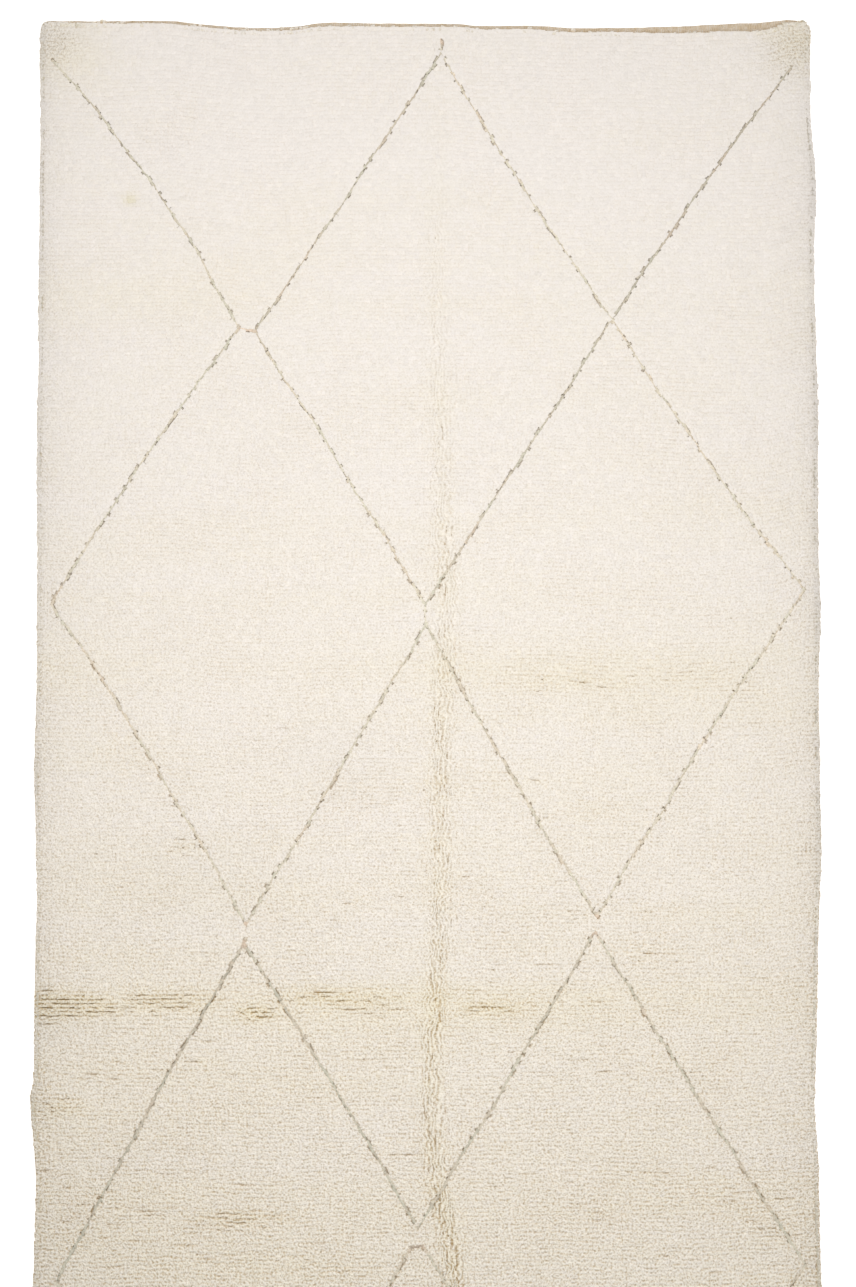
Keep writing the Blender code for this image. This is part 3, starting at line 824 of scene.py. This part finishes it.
def set_locks(name, knots, tree, values):
    """A piece made of one lock on each knot.

    knots holds an array for each thing that differs from knot to knot. The tree reads place,
    lean, size, turn and crown, and the wool reads tone, warm, coarse and lines.
    """
    mesh = bpy.data.meshes.new(name + "_knots")
    mesh.from_pydata(knots["place"].tolist(), [], [])
    for key in ("lean", "size"):
        made = mesh.attributes.new(key, "FLOAT_VECTOR", "POINT")
        made.data.foreach_set("vector", knots[key].ravel())
    for key in ("turn", "crown", "tone", "warm", "coarse", "lines"):
        made = mesh.attributes.new(key, "FLOAT", "POINT")
        made.data.foreach_set("value", knots[key])
    maker = bpy.data.objects.new(name + "_knots", mesh)
    bpy.context.scene.collection.objects.link(maker)
    modifier = maker.modifiers.new("locks", "NODES")
    modifier.node_group = tree
    for socket in tree.interface.items_tree:
        if socket.in_out == "INPUT" and socket.name in values:
            modifier[socket.identifier] = values[socket.name]
    graph = bpy.context.evaluated_depsgraph_get()
    made = bpy.data.meshes.new_from_object(maker.evaluated_get(graph))
    bpy.data.objects.remove(maker)
    bpy.data.meshes.remove(mesh)
    made.name = name
    lay_flat_map(made)
    piece = bpy.data.objects.new(name, made)
    keep_piece(piece)
    return piece


def lay_flat_map(mesh):
    """Gives a mesh the map of itself seen from above, as the UV map OFBake."""
    places = np.empty(len(mesh.vertices) * 3, np.float32)
    mesh.vertices.foreach_get("co", places)
    places = places.reshape(-1, 3)[:, :2]
    low, span = places.min(axis=0), np.ptp(places, axis=0)
    corners = np.empty(len(mesh.loops), np.int32)
    mesh.loops.foreach_get("vertex_index", corners)
    flat = ((places - low) / span)[corners]
    mesh.uv_layers.new(name="OFBake").uv.foreach_set("vector", flat.ravel().astype(np.float32))


def lower_share(y):
    """How far down from the combed upper end each place is, from 0 to 1."""
    return np.clip((LOWER_FROM - y) / LOWER_SPAN, 0, 1)


def coarseness(x, y):
    """How coarse the pile looks at each place, least where the upper end is combed smooth."""
    side = RUG_WIDE / 2 - np.abs(x)
    coarse = np.clip(COARSE_LEAST + COARSE_A_METRE * (COARSE_FROM - y), COARSE_LEAST, COARSE_MOST)
    coarse = coarse + COARSE_SIDE * np.exp(-((side / COARSE_SIDE_DEEP) ** 2))
    for x_mm, y_mm, half in RUFFLED_SPOTS:
        coarse += COARSE_RUFFLED * blot(x, y, x_mm, y_mm, half, half)
    return coarse


def how_open(x, y):
    """How far apart the knot rows stand at each place, from 0, combed over, to 1."""
    worn = lower_share(y) * (WORN + WORN_UNEVEN * wander(x, y, WORN_LONG, WORN_DEEP, layer=20.5))
    for y_mm, x_mm, half_length, half_depth, strength in OPEN_ROWS:
        worn = np.maximum(worn, strength * blot(x, y, x_mm, y_mm, half_length, half_depth))
    return np.clip(worn, 0, 1)


def parting(place, boundary, openness, layer):
    """How far the knots on both sides of a boundary between rows or columns stand apart.

    place runs along the boundary. The result is from 0 to 1.
    """
    spots = zip((place / GAP_LENGTH).tolist(), (GAP_LAYER_STEP * boundary).tolist())
    own = np.array([noise.noise((u, v, layer)) for u, v in spots])
    return np.clip(GAP_SHARP * (own - GAP_SHUT + GAP_PULL * openness), 0, 1)


def fold_strip(x, y):
    """How strongly the old fold ruffles the pile at each place, from 0 to 1."""
    off = (x - along(FOLD_LINE, y, 1)) / FOLD_HALF_WIDTH
    return np.exp(-(off**2)) * along(FOLD_LINE, y, 2)


def warmth(x, y, openness):
    """How yellow the wool is at each place, from the pinkish white upper end down."""
    lower = np.clip((WARM_FROM - y) / WARM_SPAN, 0, 1)
    bands = wander(x, y, WARM_BAND_LONG, WARM_BAND_DEEP, layer=31.5)
    patches = wander(x, y, WARM_PATCH_LONG, WARM_PATCH_DEEP, layer=32.5)
    warm = WARM_LEAST + WARM_DOWN * lower + WARM_BANDS * bands + WARM_PATCHES * patches
    warm = warm + WARM_FOLD * fold_strip(x, y) + WARM_OPEN * openness**2
    for x_mm, y_mm, half_length, half_depth, strength in WARM_SPOTS:
        warm += strength * blot(x, y, x_mm, y_mm, half_length, half_depth)
    return warm


def stains_and_painted_light(x, y):
    """How light the wool is at each place, as a factor: darker towards its sides, painted shade at the
    very rim, greyer in a stain and some spots, and paler low down as painted light.
    """
    side = np.minimum(x + RUG_WIDE / 2, RUG_WIDE / 2 - x)
    # Darker towards each side, with painted shade at the very rim where the edge turns from the light.
    grey = GREY_EDGE * np.exp(-side / GREY_EDGE_DEEP) + RIM_PAINTED_SHADE * np.exp(-((side / RIM_PAINTED_SHADE_DEEP) ** 2))
    for x_mm, y_mm, half_length, half_depth, strength in STAIN_AND_SHADE_SPOTS:
        grey += strength * blot(x, y, x_mm, y_mm, half_length, half_depth)
    # The lower part is painted paler: painted light against the lamp's falloff.
    return (1 - grey) * (1 + LOWER_PAINTED_LIGHT * lower_share(y))


def pile_top(x, y):
    """Height of the pile over each place, away from the lattice."""
    lumps = wander(x, y, LUMP_LENGTH, LUMP_LENGTH, layer=4.0)
    return PILE_TOP + LUMP_HEIGHT * lumps - FOLD_SINKS * fold_strip(x, y)


def cream_knots():
    """Place, lean, size and shade of every cream lock, and the row that it is knotted in."""
    draw = np.random.default_rng(SEED)
    rows = round((RUG_LONG - 2 * END_INSET) / ROW_PITCH)
    columns = round((RUG_WIDE - 2 * SIDE_INSET) / KNOT_PITCH)
    y = np.linspace(END_INSET - RUG_LONG / 2, RUG_LONG / 2 - END_INSET, rows)
    row, column = np.meshgrid(np.arange(rows), np.arange(columns), indexing="ij")
    share = (2 * column / (columns - 1) - 1).ravel()
    y = y[row].ravel()
    row = row.ravel()
    half = RUG_WIDE / 2 - SIDE_INSET - corner_squeeze(y)
    x, y = uneven(share * half, y, bands=1.0)
    end_gap = RUG_LONG / 2 - np.abs(y)
    sway = wander(x, y, ROW_SWAY_LONG, ROW_SWAY_DEEP, layer=12.5)
    y += ROW_SWAY * sway * np.clip(end_gap / ROWS_STRAIGHTEN, 0, 1)
    column = column.ravel()
    row_shift = ROW_SHIFT * KNOT_PITCH * draw.uniform(-1, 1, rows)[row]
    aligned = np.clip(FOLD_ALIGNS * fold_strip(x, y), 0, 1)
    inside = np.clip((RUG_WIDE / 2 - np.abs(x)) / SHIFT_FADES - SHIFT_NONE, 0, 1)
    x += draw.normal(0, KNOT_SCATTER[0], len(x)) + row_shift * (1 - aligned) * inside
    waver = wander(x, y, COLUMN_WAVER_LENGTH, COLUMN_WAVER_LENGTH, layer=17.5)
    x += COLUMN_WAVER * aligned * waver
    y += draw.normal(0, KNOT_SCATTER[1], len(x))
    distance, way, shows = off_the_lattice(x, y, LATTICE_REACH)
    clear = 0.5 * BESIDE_DEEP + TROUGH_LEAST + TROUGH_MORE * shows * trough_factor(x, y)
    kept = distance > LATTICE_CLEAR
    pushed = (distance < clear)[:, None] * (clear - distance)[:, None] * way
    x, y = x + np.nan_to_num(pushed[:, 0]), y + np.nan_to_num(pushed[:, 1])
    x, y, row, column = x[kept], y[kept], row[kept], column[kept]
    distance, way = distance[kept], way[kept]

    openness = how_open(x, y)
    coarse = coarseness(x, y)
    count = len(x)
    folded = fold_strip(x, y)
    openness *= 1 - FOLD_CLOSES * folded
    below, above = (parting(x, row + side, openness, layer=2.5) for side in (0, 1))
    opened = FOLD_OPENS * folded
    left, right = (COLUMN_GAPS * parting(y, column + side, opened, layer=6.5) for side in (0, 1))
    y += 0.5 * GAP_DEPTH * ROW_PITCH * (below - above)
    x += 0.5 * GAP_DEPTH * KNOT_PITCH * (left - right)
    across, down = LEAN_LENGTH
    lean_y = LEAN_COARSE * coarse - LEAN_COMBED + LEAN_UNEVEN[1] * wander(x, y, down, down, layer=13.5)
    lean_x = LEAN_UNEVEN[0] * wander(x, y, across, across, layer=14.5)
    lean_x += FOLD_LEAN * folded * wander(x, y, FOLD_LEAN_WIDE, FOLD_LEAN_LONG, layer=16.5)
    lean_x += draw.normal(0, LEAN_SCATTER[0], count)
    lean_y += draw.normal(0, LEAN_SCATTER[1], count)
    steady = np.clip((LATTICE_REACH - distance) / STEADY_FADES, 0, 1)
    lean_x *= 1 - STEADY * steady
    lean_y *= 1 - STEADY * steady
    lean = np.stack([lean_x, lean_y, np.ones(count)], axis=1)

    top = pile_top(x, y) + coarse * draw.normal(0, TOP_SCATTER, count)
    length = (top - ROOT_HEIGHT) * np.sqrt(1 + LEAN_LENGTHENS * (lean_x**2 + lean_y**2))
    wide = LOCK_WIDE - FOLD_NARROWS * folded - (GAP_DEPTH + COLUMN_GAP_NARROWS) * (left + right)
    wide = KNOT_PITCH * (wide + SIZE_SCATTER * draw.normal(0, 1, count))
    deep = LOCK_DEEP + FOLD_DEEPENS * folded - GAP_DEPTH * (below + above)
    deep = ROW_PITCH * (deep + SIZE_SCATTER * draw.normal(0, 1, count))
    beside = distance < BESIDE_REACH
    wide = np.where(beside, BESIDE_DEEP, wide)
    deep = np.where(beside, BESIDE_LONG, deep)
    turn = np.where(beside, np.arctan2(way[:, 1], way[:, 0]), 0)
    turn = turn + draw.normal(0, TURN_SCATTER, count)
    size = np.stack([wide, deep, length], axis=1)
    lower_shade_lines = SHADE_LINES_LOWER * np.clip(SHADE_LINES_GROW * lower_share(y) - SHADE_LINES_NONE, 0, 1)
    return {
        "place": np.stack([x, y, np.full(count, ROOT_HEIGHT)], axis=1),
        "lean": lean,
        "size": size,
        "turn": turn,
        "crown": CROWN_LEAST + CROWN_COARSE * coarse + CROWN_OPEN * openness,
        "tone": stains_and_painted_light(x, y) * (1 + draw.normal(0, TONE_SCATTER, count)),
        "warm": np.clip(warmth(x, y, openness) + draw.normal(0, WARM_SCATTER, count), 0, 1),
        "coarse": coarse,
        # The painted shade lines: between rows low down and where rows part, between columns in the old
        # fold.
        "lines": lower_shade_lines + SHADE_LINES_OPEN * openness - SHADE_LINES_FOLD * folded,
        "row": row,
    }


cream_wool = spun_wool("hand_spun_cream_wool", CREAM_TIPS, CREAM_ROOTS_IN_SHADE)
setter = lock_setter()
cream_values = {
    "Rings": 2,
    "Shoulder": 0.98,
    "Frizz": 0.0024,
    "Frizz length": 0.0045,
    "Lock height": 0.0080,
    "Lowest": 0.0003,
    "Wool": cream_wool,
}
cream = cream_knots()
rows_a_band = (cream["row"].max() + 1) / BANDS_OF_PILE
for band in range(BANDS_OF_PILE):
    chosen = (cream["row"] // rows_a_band).astype(int) == band
    knots = {key: value[chosen] for key, value in cream.items()}
    set_locks(f"cream_pile_{band + 1}", knots, setter, cream_values)


def bed_mesh():
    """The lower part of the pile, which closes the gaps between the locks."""
    rows = round(RUG_LONG / BED_STEP)
    columns = round(RUG_WIDE / BED_STEP)
    y = np.linspace(END_INSET - RUG_LONG / 2, RUG_LONG / 2 - END_INSET, rows)
    y, share = np.meshgrid(y, np.linspace(-1, 1, columns), indexing="ij")
    half = RUG_WIDE / 2 - SIDE_INSET - corner_squeeze(y)
    x, y = uneven(share * half, y, bands=1.0)
    # The points of its top are made at height 1, which marks them until they are put in place.
    skirts = ((BED_BELLY, BED_BELLY_HEIGHT), (0.0, GROUND_THICK + BED_LIFT))
    mesh = slab_mesh("pile_bed", x, y, np.ones_like(x), skirts)
    work = bmesh.new()
    work.from_mesh(mesh)
    middles = np.array([face.calc_center_median() for face in work.faces])
    distance = off_the_lattice(middles[:, 0], middles[:, 1], BED_NEAR * BED_STEP)[0]
    near = [face for face, gap in zip(work.faces, distance) if gap < np.inf and face.normal.z > 0.9]
    edges = list({edge for face in near for edge in face.edges})
    bmesh.ops.subdivide_edges(work, edges=edges, cuts=BED_CUTS, use_grid_fill=True)
    work.to_mesh(mesh)
    work.free()
    places = np.array([vertex.co for vertex in mesh.vertices])
    x, y, z = places.T
    openness = how_open(x, y)
    folded = fold_strip(x, y)
    distance = off_the_lattice(x, y, BED_TROUGH)[0]
    height = pile_top(x, y) - BED_BELOW - BED_OPEN * openness - BED_FOLD * folded
    share = np.clip(distance / BED_TROUGH, 0, 1)
    height = BED_IN_TROUGH + (height - BED_IN_TROUGH) * share
    height = np.where(z == 1, height, z)
    mesh.vertices.foreach_set("co", np.stack([x, y, height], axis=1).ravel())
    # The bed is painted with root colour as shade, darker where rows stand apart and in the old fold.
    shades = {
        "rise": BED_SHADE - BED_SHADE_OPEN * np.maximum(openness, BED_SHADE_FOLD * folded),
        "tone": stains_and_painted_light(x, y),
        "warm": np.clip(warmth(x, y, openness), 0, 1),
        "coarse": coarseness(x, y),
    }
    for key, values in shades.items():
        mesh.attributes.new(key, "FLOAT", "POINT").data.foreach_set("value", values)
    return mesh


bed = bpy.data.objects.new("pile_bed", bed_mesh())
keep_piece(bed, cream_wool)

# ---------------------------------------------------------------------------- Sage lattice
# The diamond lines are knotted in sage wool, one knot in each row, and clipped shorter
# than the cream pile, so that they lie in a narrow trough with a few pinkish tan knots.
SAGE_STEP = 0.0050
SAGE_TOP = 0.0156
SAGE_TOP_UNEVEN = 0.0008
SAGE_TOP_LENGTH = 0.02
SAGE_ROOT = 0.0040
SAGE_WIDE = 0.0068
SAGE_STEADY = 0.8           # share of its width that stays the same all along
SAGE_UNEVEN = 0.2           # and the share that its trough's unevenness changes
SAGE_LONG = 0.0085
SAGE_SIZE_SCATTER = 0.05
SAGE_LEAN_SCATTER = 0.12
SAGE_TURN_SCATTER = 0.15
SAGE_FRIZZ = 0.0016
SAGE_COARSE = 0.6
SHORT_CROWN = 0.0015        # how far a short lock's widest ring lies below its tip
SAGE_TIPS = ("#DAD5C3", "#E1CEBA")  # where it is sage and where it is pinkish tan
# Its root colours are painted shade, as in the cream wool.
SAGE_ROOTS_IN_SHADE = ("#BCB59E", "#C8B096")
SAGE_TONE = 1.29            # how light it is where its trough hardly shows
SAGE_TONE_DEEP = 0.38       # and how much darker where it shows plainly
SAGE_TONE_SCATTER = 0.05
PINK_LEAST = 0.25           # how pinkish it is all along, and how unevenly
PINK_UNEVEN = 0.5
PINK_LENGTH = 0.05
PINK_SPOT = 1.2
PINK_SCATTER = 0.1
TAN_SPOTS = (  # x_mm, y_mm, half_size_mm: where the lattice turns pinkish tan
    (-371, 957, 22),
    (-368, -262, 10),
    (-372, -300, 12),
    (345, -250, 12),
    (341, -280, 12),
    (-20, -905, 24),
    (29, 1560, 14),
)


def sage_knots():
    """Place, lean, size and shade of the short locks along every arm of the lattice."""
    draw = np.random.default_rng(SEED + 1)
    spots = []
    for line, depth_share in lattice:
        runs = np.linalg.norm(np.diff(line, axis=0), axis=1)
        passed = np.concatenate([[0.0], np.cumsum(runs)])
        at = np.linspace(0, passed[-1], round(passed[-1] / SAGE_STEP) + 1)
        path = [np.interp(at, passed, line[:, i]) for i in (0, 1)]
        course = np.arctan2(line[-1, 1] - line[0, 1], line[-1, 0] - line[0, 0])
        own = [np.full(len(at), value) for value in (depth_share, course)]
        spots.append(np.stack([*path, *own], axis=1))
    x, y, shows, course = np.concatenate(spots).T
    count = len(x)
    factor = trough_factor(x, y)
    x += draw.normal(0, KNOT_SCATTER[0], count)
    y += draw.normal(0, KNOT_SCATTER[0], count)
    top = SAGE_TOP + SAGE_TOP_UNEVEN * wander(x, y, SAGE_TOP_LENGTH, SAGE_TOP_LENGTH, layer=41.5)
    wide = SAGE_WIDE * (SAGE_STEADY + SAGE_UNEVEN * factor)
    size = np.stack([np.full(count, SAGE_LONG), wide, (top - SAGE_ROOT)], axis=1)
    size *= 1 + draw.normal(0, SAGE_SIZE_SCATTER, size.shape)
    lean_x = draw.normal(0, SAGE_LEAN_SCATTER, count)
    lean_y = draw.normal(0, SAGE_LEAN_SCATTER, count)
    pink = PINK_LEAST + PINK_UNEVEN * wander(x, y, PINK_LENGTH, PINK_LENGTH, layer=42.5)
    for x_mm, y_mm, half in TAN_SPOTS:
        pink = np.maximum(pink, PINK_SPOT * blot(x, y, x_mm, y_mm, half, half))
    return {
        "place": np.stack([x, y, np.full(count, SAGE_ROOT)], axis=1),
        "lean": np.stack([lean_x, lean_y, np.ones(count)], axis=1),
        "size": size,
        "turn": course + draw.normal(0, SAGE_TURN_SCATTER, count),
        "crown": np.full(count, SHORT_CROWN),
        "tone": SAGE_TONE - SAGE_TONE_DEEP * shows + draw.normal(0, SAGE_TONE_SCATTER, count),
        "warm": np.clip(pink + draw.normal(0, PINK_SCATTER, count), 0, 1),
        "coarse": np.full(count, SAGE_COARSE),
        "lines": np.zeros(count),
    }


sage_wool = spun_wool("hand_spun_sage_wool", SAGE_TIPS, SAGE_ROOTS_IN_SHADE)
sage_values = {**cream_values, "Frizz": SAGE_FRIZZ, "Wool": sage_wool}
set_locks("sage_lattice", sage_knots(), setter, sage_values)

# ---------------------------------------------------------------------------- Rim of the pile
# Along the long sides the outermost knots hang over the selvedge and hide it. At the ends
# the last row leans over the bare band, and a few locks of it lie right across.
RIM_LAYERS = (  # inset_mm, root_height_mm, out, up, length_mm: from the top layer down
    (11.5, 7.0, 0.75, 1.00, 10.5),
    (10.0, 6.0, 1.00, 0.55, 9.5),
    (8.5, 4.2, 1.00, 0.05, 7.0),
)
RIM_STEP = 0.5              # between locks along a side, in pitches of the rows
RIM_SCATTER = (0.0003, 0.0016)  # how far a lock stands off its place, across and along its side
RIM_SWING = 0.25            # how far neighbours swing together along the side
RIM_SWING_LENGTH = 0.045
RIM_SWING_SCATTER = 0.12
RIM_REACH = 0.10            # how unevenly far they reach, and over what length
RIM_REACH_LENGTH = 0.022
RIM_REACH_SCATTER = 0.03
RIM_LOCK_WIDE = 0.0085
RIM_SHADED_TONE = 0.80             # how light the side locks are, painted darker as shade on the rug's rounded sides, and how much less on the right side and more on the left
RIM_SHADE_RIGHT = 0.04       # and more on the left
END_LAYERS = (  # inset_mm, root_height_mm, out, up, length_mm, times_longer at most
    (5.5, 6.0, 0.15, 1.00, 10.5, 1.1),
    (5.0, 4.0, 0.95, 1.00, 7.5, 2.4),
)
END_STEP = 0.8              # between locks along an end, in pitches of the knots
END_SCATTER = 0.0016
END_REACH = 1.2             # how unevenly far they reach over the band
END_REACH_LENGTH = 0.03
END_REACH_SCATTER = 0.45
END_REACH_LEAST = 0.4
END_SWING_SCATTER = 0.35
END_LOCK_WIDE = 0.0095
EDGE_TONE_SCATTER = 0.03
EDGE_SIZE_SCATTER = 0.04
EDGE_TURN = 0.14
EDGE_OPEN = 0.3             # as yellow as where rows stand this far apart
EDGE_WARMER = 0.3
EDGE_WARM_SCATTER = 0.08
EDGE_COARSE = 0.7


def rim_knots():
    """Place, lean, size and shade of the locks that lean out round the rug."""
    draw = np.random.default_rng(SEED + 2)
    places, leans, sizes, tones = [], [], [], []
    steps = round(RUG_LONG / (RIM_STEP * ROW_PITCH))
    for side in (-1, 1):
        for inset, root, out, up, length in RIM_LAYERS:
            y = np.linspace(END_INSET - RUG_LONG / 2, RUG_LONG / 2 - END_INSET, steps)
            x = side * (RUG_WIDE / 2 - inset * MM - corner_squeeze(y))
            x, y = uneven(x, y, bands=1.0)
            y += draw.normal(0, RIM_SCATTER[1], steps)
            x += draw.normal(0, RIM_SCATTER[0], steps)
            swing = RIM_SWING * wander(x, y, NO_CHANGE, RIM_SWING_LENGTH, layer=51.5 + side)
            swing = swing + draw.normal(0, RIM_SWING_SCATTER, steps)
            reach = 1 + RIM_REACH * wander(x, y, NO_CHANGE, RIM_REACH_LENGTH, layer=53.5 + side)
            reach = reach + draw.normal(0, RIM_REACH_SCATTER, steps)
            places.append(np.stack([x, y, np.full(steps, root * MM)], axis=1))
            leans.append(np.stack([np.full(steps, side * out), swing, np.full(steps, up)], axis=1))
            wide = np.full(steps, RIM_LOCK_WIDE)
            sizes.append(np.stack([wide, wide, length * MM * reach], axis=1))
            # The side locks are painted darker, more on the right: shade on the rug's rounded edges.
            tones.append(RIM_SHADED_TONE - RIM_SHADE_RIGHT * side + draw.normal(0, EDGE_TONE_SCATTER, steps))
    steps = round(RUG_WIDE / (END_STEP * KNOT_PITCH))
    for end in (-1, 1):
        for inset, root, out, up, length, longest in END_LAYERS:
            half = RUG_WIDE / 2 - CORNER_RADIUS
            x, y = uneven(np.linspace(-half, half, steps), np.full(steps, end * RUG_LONG / 2), bands=1.0)
            y -= end * inset * MM
            x += draw.normal(0, END_SCATTER, steps)
            reach = 1 + END_REACH * wander(x, y, END_REACH_LENGTH, NO_CHANGE, layer=55.5 + end)
            reach = reach + draw.normal(0, END_REACH_SCATTER, steps)
            reach = np.clip(reach, END_REACH_LEAST, longest)
            places.append(np.stack([x, y, np.full(steps, root * MM)], axis=1))
            swing = draw.normal(0, END_SWING_SCATTER, steps)
            leans.append(np.stack([swing, end * out * reach, np.full(steps, up)], axis=1))
            wide = np.full(steps, END_LOCK_WIDE)
            sizes.append(np.stack([wide, wide, length * MM * reach], axis=1))
            tones.append(1.0 + draw.normal(0, EDGE_TONE_SCATTER, steps))
    place = np.concatenate(places)
    count = len(place)
    x, y = place[:, 0], place[:, 1]
    size = np.concatenate(sizes) * (1 + draw.normal(0, EDGE_SIZE_SCATTER, (count, 3)))
    turn = draw.uniform(-EDGE_TURN, EDGE_TURN, count)
    warm = warmth(x, y, EDGE_OPEN) + EDGE_WARMER + draw.normal(0, EDGE_WARM_SCATTER, count)
    return {
        "place": place,
        "lean": np.concatenate(leans),
        "size": size,
        "turn": turn,
        "crown": np.full(count, SHORT_CROWN),
        "tone": np.concatenate(tones) * stains_and_painted_light(x, y),
        "warm": np.clip(warm, 0, 1),
        "coarse": np.full(count, EDGE_COARSE),
        "lines": np.zeros(count),
    }


rim_values = {**cream_values, "Rings": 3, "Shoulder": 0.7, "Frizz": 0.0020}
set_locks("rim_locks", rim_knots(), setter, rim_values)

# ---------------------------------------------------------------------------- Floor and light
# A white floor that shows nothing of its own, and one wide soft light over the upper end,
# which leaves the lower end a little darker.
FLOOR_DROP = 0.0008
FLOOR_SIZE = 14.0
FLOOR_GLOW = 0.5
LAMP_WIDE = 1.2
LAMP_LONG = 2.8
LAMP_WATTS = 43.0
LAMP_PLACE = (0.02, 0.42, 2.6)
LAMP_TURN = math.radians(12)
ROOM_GLOW = 0.55


def plain_floor():
    """A large white square just under the rug."""
    half = FLOOR_SIZE / 2
    corners = [(-half, -half), (half, -half), (half, half), (-half, half)]
    mesh = bpy.data.meshes.new("floor")
    mesh.from_pydata([(x, y, -FLOOR_DROP) for x, y in corners], [], [(0, 1, 2, 3)])
    material = bpy.data.materials.new("white_paint")
    material.use_nodes = True
    shader = material.node_tree.nodes["Principled BSDF"]
    shader.inputs["Base Color"].default_value = linear("#FBFBFB")
    shader.inputs["Roughness"].default_value = 0.9
    shader.inputs["Specular IOR Level"].default_value = 0.0
    shader.inputs["Emission Color"].default_value = linear("#FFFFFF")
    shader.inputs["Emission Strength"].default_value = FLOOR_GLOW
    mesh.materials.append(material)
    return mesh


floor = bpy.data.objects.new("floor", plain_floor())
bpy.context.scene.collection.objects.link(floor)

lamp = bpy.data.objects.new("soft_light", bpy.data.lights.new("soft_light", "AREA"))
bpy.context.scene.collection.objects.link(lamp)
lamp.data.shape = "RECTANGLE"
lamp.data.size = LAMP_WIDE
lamp.data.size_y = LAMP_LONG
lamp.data.energy = LAMP_WATTS
lamp.location = LAMP_PLACE
lamp.rotation_euler = (0.0, 0.0, LAMP_TURN)
lamp.visible_camera = False

world = bpy.data.worlds.new("studio")
world.use_nodes = True
world.node_tree.nodes["Background"].inputs["Color"].default_value = linear("#FFFFFF")
world.node_tree.nodes["Background"].inputs["Strength"].default_value = ROOM_GLOW
bpy.context.scene.world = world
bpy.context.scene.view_settings.view_transform = "Standard"
